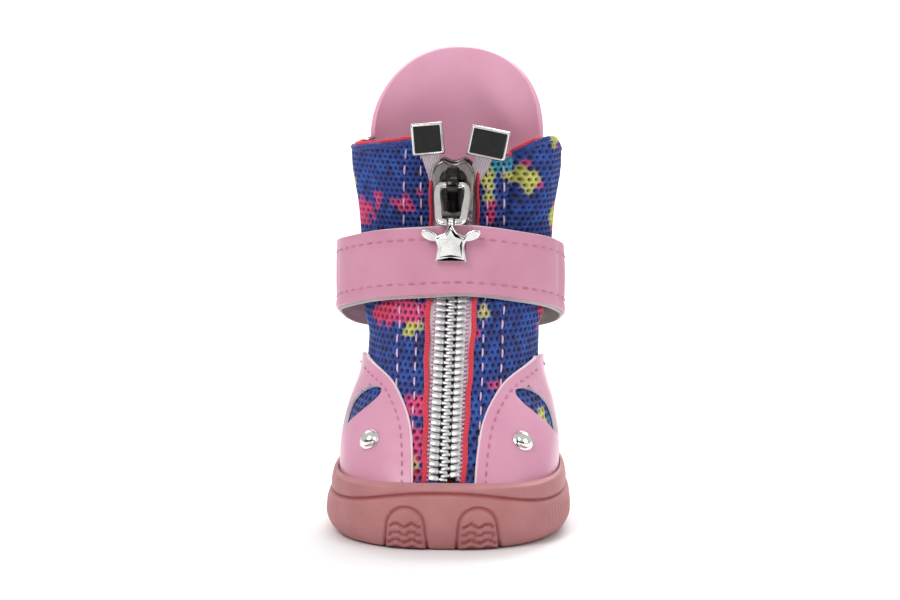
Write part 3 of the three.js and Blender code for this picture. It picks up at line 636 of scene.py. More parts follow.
# %% Coated cloth materials
def grained(name, colour, shade, cloud, pebble, amount, roughness, drift, depth, recess_shade=None, **sockets):
    """A material with a soft grain. Its roughness drifts with the clouds; what is deep gets painted shade."""
    made, nodes, shader = material(name, **sockets)
    grain = group_node(nodes, SOFT_GRAIN, Colour=colour, Shade=shade, Cloud_Size=cloud,
                       Pebble_Size=pebble, Cloud_Amount=amount)
    shown = grain
    if recess_shade:
        shown = group_node(nodes, RECESS_SHADE, Colour=grain["Colour"], **recess_shade)
    nodes.feed(shader, "Base Color", shown["Colour"])
    nodes.feed(shader, "Roughness", nodes.math("MULTIPLY_ADD", grain["Cloud"], drift, roughness))
    bump(nodes, shader, grain["Height"], depth)
    return made


def coated_cloth(name, colour, shade, roughness, coat, pebble=0.00035, depth=0.000012):
    return grained(name, colour, shade, 0.009, pebble, 0.45, roughness, 0.1, depth,
                   Coat_Weight=coat, Coat_Roughness=0.28, Sheen_Weight=0.12)


PANEL_LOOK = coated_cloth("panel coating", rgb(212, 149, 175), rgb(199, 130, 160), 0.36, 0.35)
STRAP_LOOK = coated_cloth("strap coating", rgb(202, 139, 163), rgb(186, 118, 147), 0.46, 0.12)
# The tab's pink is painted lighter than the panels': painted light, to lift its face out of the shade the
# lamps leave.
TAB_LOOK = coated_cloth("tab coating", rgb(231, 170, 195), rgb(220, 152, 182), 0.5, 0.08)
EDGE_LOOK = coated_cloth("pale cut edge", rgb(236, 214, 222), rgb(216, 186, 198), 0.7, 0.0, 0.0003, 0.00003)
BACKING_LOOK = coated_cloth("grey backing", rgb(196, 190, 190), rgb(170, 164, 166), 0.85, 0.0,
                            0.0005, 0.00004)


def thread_look(name, colour, shade):
    return grained(name, colour, shade, 0.002, 0.00018, 0.6, 0.62, 0.1, 0.00004, Sheen_Weight=0.3)


PINK_THREAD = thread_look("pink thread", rgb(202, 122, 156), rgb(172, 90, 128))
PALE_THREAD = thread_look("pale thread", rgb(226, 196, 218), rgb(190, 140, 186))
print("coated cloth ready")

# %% [markdown]
# ## Rubber
#
# The cup sole is one moulding in a dusty salmon rose, almost matt. Its grooves are painted dark red, a
# painted shade, for less light gets in.


# %% Rubber material
RUBBER_LOOK = grained("salmon rubber", rgb(178, 118, 119), rgb(162, 101, 103), 0.007, 0.0003, 0.6, 0.55,
                      0.08, 0.00002, recess_shade={"Deep_Colour": rgb(146, 62, 62), "Strength": 0.85},
                      Specular_IOR_Level=0.42, Sheen_Weight=0.06)

# %% [markdown]
# ## Metals
#
# Rivets, pull, charm and clip frames are bright plated metal, the teeth are silver, and the slider is
# gunmetal with lighter rubbed patches, partly painted highlight. The clips' faces are black enamel.


# %% Metal materials
def metal(name, colour, wear_and_highlight, roughness):
    made, nodes, shader = material(name, Metallic=1.0)
    wear = group_node(nodes, METAL_WEAR_AND_HIGHLIGHT, Colour=colour, Worn_Colour=wear_and_highlight, Roughness=roughness)
    nodes.feed(shader, "Base Color", wear["Colour"])
    nodes.feed(shader, "Roughness", wear["Roughness"])
    bump(nodes, shader, wear["Height"], 0.000006)
    return made


SILVER_LOOK = metal("bright plating", rgb(236, 235, 232), rgb(206, 203, 198), 0.16)
TEETH_LOOK = metal("silver teeth", rgb(218, 219, 220), rgb(184, 184, 184), 0.4)
# On both gunmetals the rubbed patches are lighter: wear, and partly a painted highlight.
GUNMETAL_LOOK = metal("gunmetal", rgb(118, 115, 113), rgb(168, 164, 160), 0.18)
# A darker copy of the gunmetal: on the slider's raised middle field it is painted shade, for the hollow
# there.
DARK_METAL_LOOK = metal("dark gunmetal", rgb(52, 50, 50), rgb(96, 93, 90), 0.2)
ENAMEL_LOOK = grained("black enamel", rgb(16, 16, 17), rgb(34, 33, 34), 0.002, 0.0004, 0.5, 0.26, 0.12,
                      0.000008, Specular_IOR_Level=0.25, Coat_Weight=0.15, Coat_Roughness=0.1)

# %% [markdown]
# ## Cloths
#
# The zip's tape is a pale twill. The lining, the collar's edge and the folds beside the zip are a neon
# coral knit, bright enough to glow at the edges.


# %% Cloth materials
def cloth(name, colour, gap, thread, depth, slant=0.0, sheen=0.3):
    made, nodes, shader = material(name, Roughness=0.8, Sheen_Weight=sheen, Sheen_Roughness=0.5)
    yarn = group_node(nodes, YARN, Colour=colour, Gap_Colour=gap, Thread_Size=thread, Slant=slant)
    nodes.feed(shader, "Base Color", yarn["Colour"])
    bump(nodes, shader, yarn["Height"], depth)
    return made


TAPE_LOOK = cloth("zip tape", rgb(226, 216, 221), rgb(178, 158, 168), 0.00045, 0.00008, slant=0.8)
CORAL_LOOK = cloth("coral edge", rgb(240, 52, 78), rgb(176, 20, 46), 0.0004, 0.00008)
LINING_LOOK = cloth("coral lining", rgb(214, 70, 92), rgb(140, 26, 48), 0.0007, 0.00012)
INSOLE_LOOK = cloth("insole cloth", rgb(216, 160, 180), rgb(170, 104, 130), 0.0008, 0.0001, slant=0.6)


def knit():
    """Coloured yarn: the dye of each cell is an attribute, and deep between the yarns it is painted dark, a
    painted shade.
    """
    made, nodes, shader = material("coloured knit", Sheen_Weight=0.25, Sheen_Roughness=0.45)
    dye = nodes.add("Attribute", {"attribute_name": "dye"}).outputs["Color"]
    grain = group_node(nodes, SOFT_GRAIN, Colour=dye, Shade=rgb(16, 30, 92), Cloud_Size=0.0012,
                       Pebble_Size=0.0002, Cloud_Amount=0.22)
    worked = group_node(nodes, RECESS_SHADE, Colour=grain["Colour"], Deep_Colour=rgb(16, 16, 48), Strength=1.0)
    nodes.feed(shader, "Base Color", worked["Colour"])
    nodes.feed(shader, "Roughness", nodes.math("MULTIPLY_ADD", worked["Mask"], 0.25, 0.6))
    bump(nodes, shader, grain["Height"], 0.00006)
    return made


KNIT_LOOK = knit()
print("materials", len(bpy.data.materials))

# %% [markdown]
# ## The sole
#
# One moulded cup of rubber. Its wall is a short table of heights and insets, swept round the outline,
# and everything on it is relief in the same mesh: the groove under the lip, two arched pads on the toe
# with their waves, fine ridges on the sides, and the tread underneath.

# %% Sole: outline and relief
SOLE_LENGTH = 28.8
SOLE_WIDTH = 22.3
BALL_Y = -4.0
SOLE_SQUARE = 2.35
TOE_GROOVE = 10.6
SIDE_GROOVE = 7.7
LIP_TOE, LIP_BALL, LIP_HEEL = 11.6, 10.8, 12.2
SOLE_ROUND = 640                 # steps round the sole
PAD_X, PAD_FOOT, PAD_WIDTH, PAD_HEIGHT = 6.6, 0.3, 7.3, 7.4
PAD_WAVES = 1.5                  # height of one wave of a pad
PAD_ZIGZAG = 2.9                 # length of one swing of a wave
RIB_PITCH = 1.15                 # between the fine ridges on the sides
TREAD_DEPTH = 0.9
TREAD_CHANNEL = 1.5
TREAD_RAIL = 10.6
TREAD_ACROSS = [(-20.5, 12.4), (-14.0, 16.2), (-7.5, 17.6), (7.5, 17.0), (14.0, 15.0), (20.5, 11.8)]
# The wall: height as a share of the groove's height, a rise in mm, and the inset from the outline.
SOLE_WALL = [(0, 0, 2.9), (0, 0.55, 1.6), (0.18, 0.3, 0.65), (0.45, 0, 0), (0.75, 0, 0.12), (0.9, 0, 0.35),
             (1, 0, 0.62), (1, 0.5, 0.8)]


def sole_point(angle, z, inset):
    return outline(angle, z, -SOLE_LENGTH, SOLE_LENGTH, SOLE_WIDTH, BALL_Y, SOLE_SQUARE, -inset)


def groove_height(angle):
    return SIDE_GROOVE + (TOE_GROOVE - SIDE_GROOVE) * np.maximum(0, np.cos(angle)) ** 4


def lip_height(angle):
    toe = np.maximum(0, np.cos(angle)) ** 3
    heel = (1 - np.cos(angle)) / 2
    return LIP_BALL + (LIP_TOE - LIP_BALL) * toe + (LIP_HEEL - LIP_BALL) * heel**1.5


def pad_distance(x, z):
    """How far a point of the toe lies outside the nearest arched pad, in mm; inside it is negative."""
    u = np.abs(np.abs(x) - PAD_X)
    top = PAD_FOOT + PAD_HEIGHT
    radius = PAD_WIDTH * 0.43
    lean = (PAD_WIDTH / 2 - radius) * np.clip((top - radius - z) / (top - radius), 0, 1)
    sides = u - radius - lean
    crown = np.hypot(u, z - (top - radius)) - radius
    return np.where(z > top - radius, crown, sides)


def sole_relief(points, angle):
    """How far the wall stands out, and how much painted shade each point gets: in the groove, the pads'
    moats, troughs and slit, and between the ribs.
    """
    x, y, z = points[..., 0], points[..., 1], points[..., 2]
    in_groove = np.exp(-(((z - groove_height(angle)) / 0.30) ** 2))
    toe = smoothstep(-19, -22, y)
    away = pad_distance(x, z)
    on_pad = smoothstep(0.25, -0.35, away) * toe
    moat = np.exp(-(((away - 0.35) / 0.26) ** 2)) * toe * smoothstep(9.0, 8.0, z)
    swing = 0.30 * np.sin((np.abs(x) - PAD_X) * 2 * math.pi / PAD_ZIGZAG + 1.2)
    phase = (z - PAD_FOOT + swing) * 2 * math.pi / PAD_WAVES
    troughs = smoothstep(-0.25, 0.7, np.cos(phase)) * smoothstep(-0.1, -0.5, away) * toe
    troughs = troughs * smoothstep(6.0, 5.5, z)
    slit = np.exp(-(((away - 0.25) / 0.22) ** 2)) * smoothstep(2.2, 0.8, z) * toe
    side = smoothstep(-20.5, -17.5, y) * smoothstep(-3.0, -6.0, y)
    ribs = 0.5 + 0.5 * np.cos(y * 2 * math.pi / RIB_PITCH + 0.5 * np.sin(z * 1.4))
    ribs = ribs * side * smoothstep(0.9, 2.0, z) * smoothstep(7.0, 5.6, z)
    out = 0.42 * on_pad - 0.42 * moat - 0.46 * troughs - 0.5 * slit - 0.5 * in_groove + 0.13 * ribs
    deep = in_groove + 0.85 * moat + 0.85 * troughs + slit + 0.22 * side * (1 - ribs) * (z < 7)
    return out, np.clip(deep, 0, 1)


# %% Sole: the moulding
SOLE_TURN = np.linspace(0, 2 * math.pi, SOLE_ROUND, endpoint=False)
LIP_START, LIP_EDGE = 0.8, 1.6   # insets of the lip's foot and of its top edge
CUP_OUT = 1.25                   # how far outside the knit the cup's wall stands
CUP_FLOOR = 2.4


def tread_cut(x, y):
    """How much of the tread's channels lies at a place under the sole, 0 to 1."""
    def channel(away, half):
        return smoothstep(half + 0.25, half - 0.25, np.abs(away))

    half = TREAD_CHANNEL / 2
    last = TREAD_ACROSS[-1][0]
    cut = channel(np.abs(x) - TREAD_RAIL, half) * smoothstep(last + 0.5, last, np.abs(y))
    for place, reach in TREAD_ACROSS:
        cut = np.maximum(cut, channel(y - place, half) * channel(x, reach))
    return cut


def tread_rings():
    """From the middle of the tread out to the wall's foot."""
    for share in np.linspace(0.02, 1, 36) ** 0.85:
        flat = sole_point(SOLE_TURN, 0.0, SOLE_WALL[0][2])
        flat[:, 0] *= share
        flat[:, 1] = BALL_Y + (flat[:, 1] - BALL_Y) * share
        cut = tread_cut(flat[:, 0], flat[:, 1])
        flat[:, 2] = cut * TREAD_DEPTH
        yield flat, cut * 0.5


def wall_rings():
    """Up the wall to the groove, with all its relief."""
    wall = np.array(SOLE_WALL, float)
    groove = groove_height(SOLE_TURN)
    for place in np.concatenate([np.linspace(0.15, 2.8, 14), np.linspace(2.9, 7, 40)]):
        share, rise, inset = (curve_through(np.arange(len(wall)), wall[:, k], place) for k in range(3))
        z = groove * share + rise
        out, low = sole_relief(sole_point(SOLE_TURN, z, inset), SOLE_TURN)
        yield sole_point(SOLE_TURN, z, inset - out), low


def lip_rings():
    """Over the lip, and down into the cup to the middle of its floor."""
    top = lip_height(SOLE_TURN)
    base = groove_height(SOLE_TURN) + 0.5
    for t in np.linspace(0, 1, 9)[1:]:
        inset = LIP_START + 0.45 * (1 - math.cos(t * math.pi / 2)) - 0.08 * math.sin(t * math.pi)
        yield sole_point(SOLE_TURN, base + (top - 0.12 - base) * t, inset), 0.0 * top
    outer = sole_point(SOLE_TURN, top, LIP_EDGE)
    inner = last_point(SOLE_TURN, top, CUP_OUT)
    for t in np.linspace(0, 1, 8):
        shelf = outer * (1 - t) + inner * t
        shelf[:, 2] = top + 0.12 * math.sin(t * math.pi) - 0.35 * t**4
        yield shelf, 0.0 * top + 0.55 * t**6
    for share in (0.9, 0.6, 0.3):
        yield last_point(SOLE_TURN, CUP_FLOOR + (top - CUP_FLOOR) * share, CUP_OUT), 0.0 * top + 0.5
    floor = last_point(SOLE_TURN, 0.0 * top + CUP_FLOOR + 0.05, CUP_OUT)
    middle = floor.mean(0)
    for share in (1.0, 0.7, 0.35, 0.02):
        yield middle + (floor - middle) * share, 0.0 * top + 0.3


def add_point_value(obj, name, values, kind="FLOAT"):
    field = "color" if kind == "FLOAT_COLOR" else "value"
    attribute = obj.data.attributes.new(name, kind, "POINT")
    attribute.data.foreach_set(field, np.asarray(values, np.float32).ravel())


sole_rings, deep = zip(*tread_rings(), *wall_rings(), *lip_rings())
sole = piece("sole", np.concatenate(sole_rings), stack_faces(len(sole_rings), SOLE_ROUND), [RUBBER_LOOK],
             "sole_rubber", stands_for=["outsole"])
# The deep attribute is painted shade: grooves, tread channels and the inside of the cup are painted darker.
add_point_value(sole, "deep", np.concatenate(deep))

# %% [markdown]
# ## The knit
#
# The upper is a warp knit with a honeycomb of holes. It could be a bump, but its holes show at the
# edges and catch light, so each cell is real: a crest shared with its neighbours, a rim, and a floor
# below. Cells sit in staggered rows, evenly round the last. Each takes one dye, as a loop of yarn does,
# from soft-edged patches that are placed over the blue.

# %% Knit: dye patches
BLUE, PINK, LIME, TEAL, RED = (rgb(14, 53, 139), rgb(214, 60, 118), rgb(206, 204, 96),
                               rgb(50, 150, 180), rgb(200, 32, 70))
LIGHT_BLUE, NAVY = rgb(28, 82, 174), rgb(10, 30, 94)
# Each patch: which face of the boot it lies on, its place across or along it and its height, its half
# width and half height, and its dye. Across is x on the front and back, and y on the sides.
PATCHES = [
    ("front", -9.8, 57.2, 2.6, 1.3, PINK),
    ("front", -14.4, 57.6, 0.8, 1.5, PINK),
    ("front", 11.6, 62.6, 3.4, 1.9, LIME),
    ("front", 8.8, 64.4, 2.4, 1.6, TEAL),
    ("front", 13.6, 60.8, 1.7, 1.6, LIME),
    ("front", 6.2, 61.0, 1.0, 3.6, LIME),
    ("front", 6.6, 56.0, 0.9, 2.4, PINK),
    ("front", 18.0, 69.0, 1.2, 1.5, LIME),
    ("front", -9.5, 38.6, 6.0, 2.2, PINK),
    ("front", -13.2, 37.6, 2.2, 1.6, RED),
    ("front", -7.4, 36.0, 1.9, 1.2, LIME),
    ("front", -6.0, 23.6, 1.9, 5.0, PINK),
    ("front", -6.2, 17.4, 2.6, 4.8, PINK),
    ("front", -5.9, 14.6, 1.2, 1.3, LIME),
    ("front", -5.6, 12.4, 1.8, 0.9, RED),
    ("front", 6.0, 38.8, 1.0, 1.3, LIME),
    ("front", 8.4, 26.6, 1.1, 0.8, PINK),
    ("front", 16.5, 37.0, 1.2, 4.0, RED),
    ("left", 0.0, 17.0, 3.0, 1.2, TEAL),
    ("left", 14.0, 18.0, 6.5, 5.0, RED),
    ("left", 25.0, 61.0, 4.0, 3.6, LIME),
    ("left", 21.0, 55.0, 3.4, 2.6, PINK),
    ("left", 18.0, 33.0, 6.5, 3.4, PINK),
    ("right", -3.4, 20.0, 1.6, 4.2, LIME),
    ("right", 1.5, 18.6, 2.0, 2.6, TEAL),
    ("right", 14.5, 18.0, 6.0, 5.0, PINK),
    ("right", 26.0, 62.0, 3.6, 4.4, PINK),
    ("right", 22.5, 54.6, 3.0, 2.4, LIME),
    ("right", 20.0, 32.0, 5.0, 3.0, LIME),
    ("right", 27.0, 34.0, 3.0, 3.0, TEAL),
    ("back", -8.0, 60.0, 5.5, 3.6, PINK),
    ("back", 7.0, 57.0, 4.6, 3.0, LIME),
    ("back", 10.0, 62.0, 3.2, 2.2, TEAL),
    ("back", -3.0, 33.0, 6.0, 3.4, PINK),
    ("back", 9.0, 31.0, 3.4, 2.0, LIME),
]


def patch_centre(face, across, z):
    height = np.array(z)
    if face in ("front", "back"):
        angle = angle_from_x(np.array(across), height, 0.0, behind=face == "back")
    else:
        angle = angle_from_y(np.array(across), height, 0.0, 1 if face == "right" else -1)
    return last_point(angle, height, 0.0)


def dye_of(centres, rng):
    """One colour for each knit cell: mostly blue, and the patches' dyes with ragged edges."""
    draw = rng.random(len(centres))[:, None]
    dye = np.where(draw < LIGHTER, LIGHT_BLUE, np.where(draw > DARKER, NAVY, BLUE))
    for face, across, z, half_wide, half_tall, colour in PATCHES:
        away = centres - patch_centre(face, across, z)
        reach = np.hypot(np.hypot(away[:, 0], away[:, 1]) / half_wide, away[:, 2] / half_tall)
        ragged = reach + rng.normal(0, 0.16, len(centres))
        dye = np.where((ragged < 1)[:, None], colour, dye)
    stray = rng.random(len(centres))[:, None] < STRAY
    return np.where(stray, PINK, dye)


# %% Knit: honeycomb
CELLS_ROUND = 84                 # an even number, so that staggered rows meet behind
ROW_PITCH = 1.06
KNIT_FOOT = 8.6                  # the knit shows from here up: below it the sole's cup hides it
KNIT_TOP = 71.5
CORNERS = [(0, 2), (-1, 1), (-1, -1), (0, -2), (1, -1), (1, 1)]
# Each ring of a cell: its size as a share of the cell, how far it stands out in mm, and how much painted
# shade it gets.
CELL_RINGS = [(0.64, 0.02, 0.12), (0.36, -0.36, 0.7)]
CREST_OUT = 0.12
# Painted highlight: the crests are given a lighter colour than their dye.
CREST_LIGHT = np.array([1.3, 1.3, 1.15, 1.0])   # the ridges between holes catch more light
FLOOR_OUT = -0.52
THROAT_FOOT = 11.4
THROAT_LOW = 3.55                # half the zip's opening at its foot
FRONT_TURN = 1.2                 # radians either side of the toe, where the opening can be
LEG_MIDDLE_Y = 22                # the leg's middle, from front to back
DYE_SEED, HEM_SEED = 7, 12
LIGHTER, DARKER, STRAY = 0.16, 0.82, 0.012   # which random draws make a cell lighter, darker or pink


def throat_half(z):
    """Half the gap that the zip closes: a little narrower towards the toe."""
    return THROAT_LOW + (THROAT - THROAT_LOW) * smoothstep(10.0, 44.0, z)


def knit_top(angle):
    """The collar's height: the rolled corner at the right stands a little higher."""
    corner = np.exp(-(((np.degrees(angle) - 64) / 16) ** 2))
    dip = np.exp(-(((np.degrees(angle) - 34) / 11) ** 2))
    return collar_height(angle) + 2.1 * corner - 3.0 * dip - 0.5


def lattice_place(column, row):
    """The angle and height of a place in the honeycomb, where columns are half cells."""
    z = KNIT_FOOT + row * ROW_PITCH / 3
    return even_angle(column / (2 * CELLS_ROUND), z), z


def honeycomb():
    rows = int((KNIT_TOP - KNIT_FOOT) / ROW_PITCH)
    cells = np.array([(2 * i + r % 2, 3 * r) for r in range(rows) for i in range(CELLS_ROUND)])
    angle, z = lattice_place(cells[:, 0].astype(float), cells[:, 1].astype(float))
    turn = wrapped(angle)
    middle = knit_point(angle, z)
    in_throat = (np.abs(middle[:, 0]) < throat_half(z)) & (np.abs(turn) < FRONT_TURN) & (z > THROAT_FOOT)
    cells = cells[(z < knit_top(turn)) & ~in_throat]
    angle, z = lattice_place(cells[:, 0].astype(float), cells[:, 1].astype(float))
    dye = dye_of(knit_point(angle, z), np.random.default_rng(DYE_SEED))
    corner = cells[:, None, :] + np.array(CORNERS)[None]
    keys = corner.copy()
    keys[..., 0] %= 2 * CELLS_ROUND
    shared, index = np.unique(keys.reshape(-1, 2), axis=0, return_inverse=True)
    index = index.reshape(-1, 6)
    crest_angle, crest_z = lattice_place(shared[:, 0].astype(float), shared[:, 1].astype(float))
    points = [knit_point(crest_angle, crest_z, CREST_OUT)]
    summed = np.zeros((len(shared), 4))
    counts = np.zeros(len(shared))
    np.add.at(summed, index.ravel(), np.repeat(dye, 6, 0))
    np.add.at(counts, index.ravel(), 1)
    colours = [np.clip(summed / counts[:, None] * CREST_LIGHT, 0, 1)]
    deep = [np.zeros(len(shared))]
    rings = [index]
    start = len(shared)
    centre = cells[:, None, :].astype(float)
    for size, out, depth in CELL_RINGS:
        place = centre + (corner - centre) * size
        a, h = lattice_place(place[..., 0], place[..., 1])
        points.append(knit_point(a, h, out).reshape(-1, 3))
        colours.append(np.repeat(dye, 6, 0))
        deep.append(np.full(len(cells) * 6, depth))
        rings.append(start + np.arange(len(cells) * 6).reshape(-1, 6))
        start += len(cells) * 6
    points.append(knit_point(angle, z, FLOOR_OUT))
    colours.append(dye)
    deep.append(np.full(len(cells), 1.0))
    hub = start + np.arange(len(cells))
    faces = []
    for inner, outer in zip(rings[1:], rings[:-1]):
        for k in range(6):
            j = (k + 1) % 6
            faces.append(np.stack([outer[:, k], outer[:, j], inner[:, j], inner[:, k]], 1))
    faces = np.concatenate(faces).tolist()
    for k in range(6):
        faces += np.stack([rings[-1][:, k], rings[-1][:, (k + 1) % 6], hub], 1).tolist()
    return np.concatenate(points), faces, np.concatenate(colours), np.concatenate(deep)


points, faces, dye, deep = honeycomb()
edge = throat_half(points[:, 2])
near = (np.abs(points[:, 0]) < edge + 0.12) & (points[:, 1] < LEG_MIDDLE_Y) & (points[:, 2] > THROAT_FOOT)
points[near, 0] = np.sign(points[near, 0]) * edge[near]
knit_shell = piece("knit_upper", points, faces, [KNIT_LOOK], "knit_mesh", stands_for=["upper"])
# The dye attribute also holds the painted highlight on the crests.
add_point_value(knit_shell, "dye", dye, "FLOAT_COLOR")
# The deep attribute paints shade into the knit's holes, darkest at their floors.
add_point_value(knit_shell, "deep", deep)

# %% [markdown]
# ## Lining, collar edge and the folds beside the zip
#
# Behind the honeycomb lies a coral lining. It rolls over the collar as a thin bright edge, and turns
# out again as a narrow fold down each side of the zip.

# %% Lining and edges
THROAT_TOP = 66.0
LINING_ROWS, LINING_COLUMNS = 40, 150
LINING_FOOT = 4.0
LINING_OUT = -0.85
HEM_STEPS, HEM_SIDES = 520, 12
FOLD_PITCH = 0.5


def throat_angle(z, out=0.0):
    return angle_from_x(throat_half(z), z, out)


def lining_sheet():
    """The lining, from one side of the zip round the heel to the other, collar down to the insole."""
    share = np.linspace(0, 1, LINING_ROWS)[:, None]
    low = throat_angle(np.array(40.0), -1.0)
    angle = np.linspace(low, 2 * math.pi - low, LINING_COLUMNS)
    z = LINING_FOOT + (knit_top(wrapped(angle)) + 0.2 - LINING_FOOT) * share
    start = throat_angle(np.maximum(z, THROAT_FOOT), -1.0)
    turn = start + (2 * math.pi - 2 * start) * (angle - low) / (2 * math.pi - 2 * low)
    return knit_point(turn, z, LINING_OUT - 0.15 * np.sin(share * math.pi))


lining = piece("lining", lining_sheet().reshape(-1, 3), grid_faces(LINING_ROWS, LINING_COLUMNS),
               [LINING_LOOK, LINING_LOOK], "knit_mesh")
thicken(lining, 0.5, bevel=0.1)


def collar_roll():
    """The lining's bright edge over the collar. It tucks in where the corner rolls over."""
    start = throat_angle(np.array(68.0)) + 0.10
    angle = np.linspace(start, 2 * math.pi - start, 220)
    tucked = np.exp(-(((np.degrees(wrapped(angle)) - 66) / 17) ** 2))
    wobble = 0.16 * np.sin(angle * 9.0) + 0.10 * np.sin(angle * 23.0 + 1.0)
    z = knit_top(wrapped(angle)) + 0.75 + wobble * 0.6 - 0.9 * tucked
    path = knit_point(angle, z, -0.85 + wobble * 0.4 - 0.9 * tucked)
    return tube(path, 0.40 - 0.06 * tucked, sides=10)


collar = piece("collar_edge", *collar_roll(), [CORAL_LOOK], "knit_mesh")


def hem_roll():
    """The knit's own fold at the collar: it hides the cut cells, and dips and swells a little."""
    start = throat_angle(np.array(66.0)) + 0.02
    angle = np.linspace(start, 2 * math.pi - start, HEM_STEPS)
    z = knit_top(wrapped(angle)) + 0.05 + 0.12 * np.sin(angle * 11.0)
    return knit_point(angle, z, -0.28)


hem_path = hem_roll()
hem = piece("collar_hem", *tube(hem_path, 0.56, sides=HEM_SIDES), [KNIT_LOOK], "knit_mesh")
hem_dye = dye_of(np.repeat(hem_path, HEM_SIDES, 0), np.random.default_rng(HEM_SEED))
step, side = np.divmod(np.arange(HEM_STEPS * HEM_SIDES), HEM_SIDES)
# Painted shade: a row of dark dips along the hem, between its stitches.
stitch_dip = 0.5 + 0.5 * np.sin(step * 2 * math.pi / 5.2 + side * 0.9)
add_point_value(hem, "dye", hem_dye, "FLOAT_COLOR")
add_point_value(hem, "deep", 0.55 * stitch_dip**2)

for side, word in ((-1, "left"), (1, "right")):
    z = np.arange(THROAT_FOOT - 0.6, THROAT_TOP + 1.4, FOLD_PITCH)
    edge = knit_point(side * throat_angle(z, 0.0), z, 0.1)
    edge[:, 0] = side * (throat_half(z) + 0.05 + 0.10 * np.sin(z * 0.9 + side))
    edge[:, 2] = z
    sides = np.tile([1.0, 0.0, 0.0], (len(z), 1))
    fold_points = tube(edge, 0.52 - 0.14 * smoothstep(46, 54, z), sides=10, flat=0.95, facing=sides)
    piece(f"zip_fold_{word}", *fold_points, [CORAL_LOOK], "knit_mesh")

# %% [markdown]
# ## Side panels
#
# Each panel is one cut sheet from the zip to the heel. Its front edge sweeps up and back, its top edge
# falls to the heel, and two slanted oval windows show the knit. The sheet is a grid between those
# edges. Where a window's edge crosses it, the nearest points are drawn onto the oval, so the cut is
# clean without a boolean.

# %% Panels: outline and windows
PANEL_OUT = 1.2
PANEL_THICK = 0.85
PANEL_FOOT = 4.0
PANEL_FRONT = [(2, 6.0), (12, 6.0), (17, 6.3), (21, 7.0), (24.5, 8.6), (27.6, 11.2), (30, 15.9)]   # z, x
PANEL_TOP = [(-5, 30.0), (8, 30.1), (18, 28.1), (27.5, 26.6), (40, 26.2)]                         # y, z
# Each window: its middle's y and z, its length and height, its lean in radians, and how much it widens
# towards its rear end; below 0 it narrows.
WINDOWS = [(-2.6, 21.3, 10.2, 6.3, -1.1, -0.12), (14.4, 19.4, 10.6, 8.6, -0.08, 0.0)]
PANEL_TALL, PANEL_GIRTH = 29.9, 110.0   # about its height, and the way round the last at the heel seam
PANEL_ROWS = 84
PANEL_COLUMNS = 220
SEAM_GAP = 0.25
STITCH_INSET = 1.7


def angle_of(points, out):
    """The angle round the last of points that lie on it, on the right side."""
    x, y, z = points[..., 0], points[..., 1], points[..., 2]
    power = section("round", z) / 2
    widest = section("widest", z)
    reach = np.where(y < widest, widest - section("front", z), section("back", z) - widest) + out
    sine = (np.abs(x) / (section("half", z) + out)) ** power
    cosine = (np.abs(y - widest) / reach) ** power
    return np.arctan2(sine, np.where(y < widest, cosine, -cosine))


def window_distance(points, window):
    """A point's place in a window's own frame, and how far outside its oval it lies, as a share."""
    y, z, length, height, lean, widening = window
    c, s = math.cos(lean), math.sin(lean)
    u = ((points[..., 1] - y) * c + (points[..., 2] - z) * s) / (length / 2)
    v = ((points[..., 2] - z) * c - (points[..., 1] - y) * s) / (height / 2)
    v = v / (1 + widening * np.clip(u, -1, 1))
    return u, v, np.hypot(u, v) - 1


def onto_window(points, window):
    """The same points moved onto the window's oval, and back onto the last."""
    y, z, length, height, lean, widening = window
    u, v, away = window_distance(points, window)
    u, v = u / (away + 1), v / (away + 1)
    u, v = u * length / 2, v * (1 + widening * u) * height / 2
    c, s = math.cos(lean), math.sin(lean)
    new_y = y + u * c - v * s
    new_z = z + u * s + v * c
    return last_point(angle_from_y(new_y, new_z, PANEL_OUT, 1), new_z, PANEL_OUT)


def panel_grid():
    """Points of the right panel's outer face, row by row from the cup to the top edge."""
    t = np.linspace(0, 1, PANEL_ROWS)[:, None]
    s = np.linspace(0, 1, PANEL_COLUMNS)[None, :]
    z = PANEL_FOOT + (PANEL_TALL - PANEL_FOOT) * t + 0 * s
    edge_z, edge_x = np.array(PANEL_FRONT).T
    top_y, top_z = np.array(PANEL_TOP).T
    for _ in range(6):
        x = curve_through(edge_z, edge_x, z)
        front = even_share(angle_from_x(x, z, PANEL_OUT), z)
        back = 1 - SEAM_GAP / PANEL_GIRTH
        share = front + (back - front) * s
        points = last_point(even_angle(share, z), z, PANEL_OUT)
        z = PANEL_FOOT + (curve_through(top_y, top_z, points[..., 1]) - PANEL_FOOT) * t
    return points


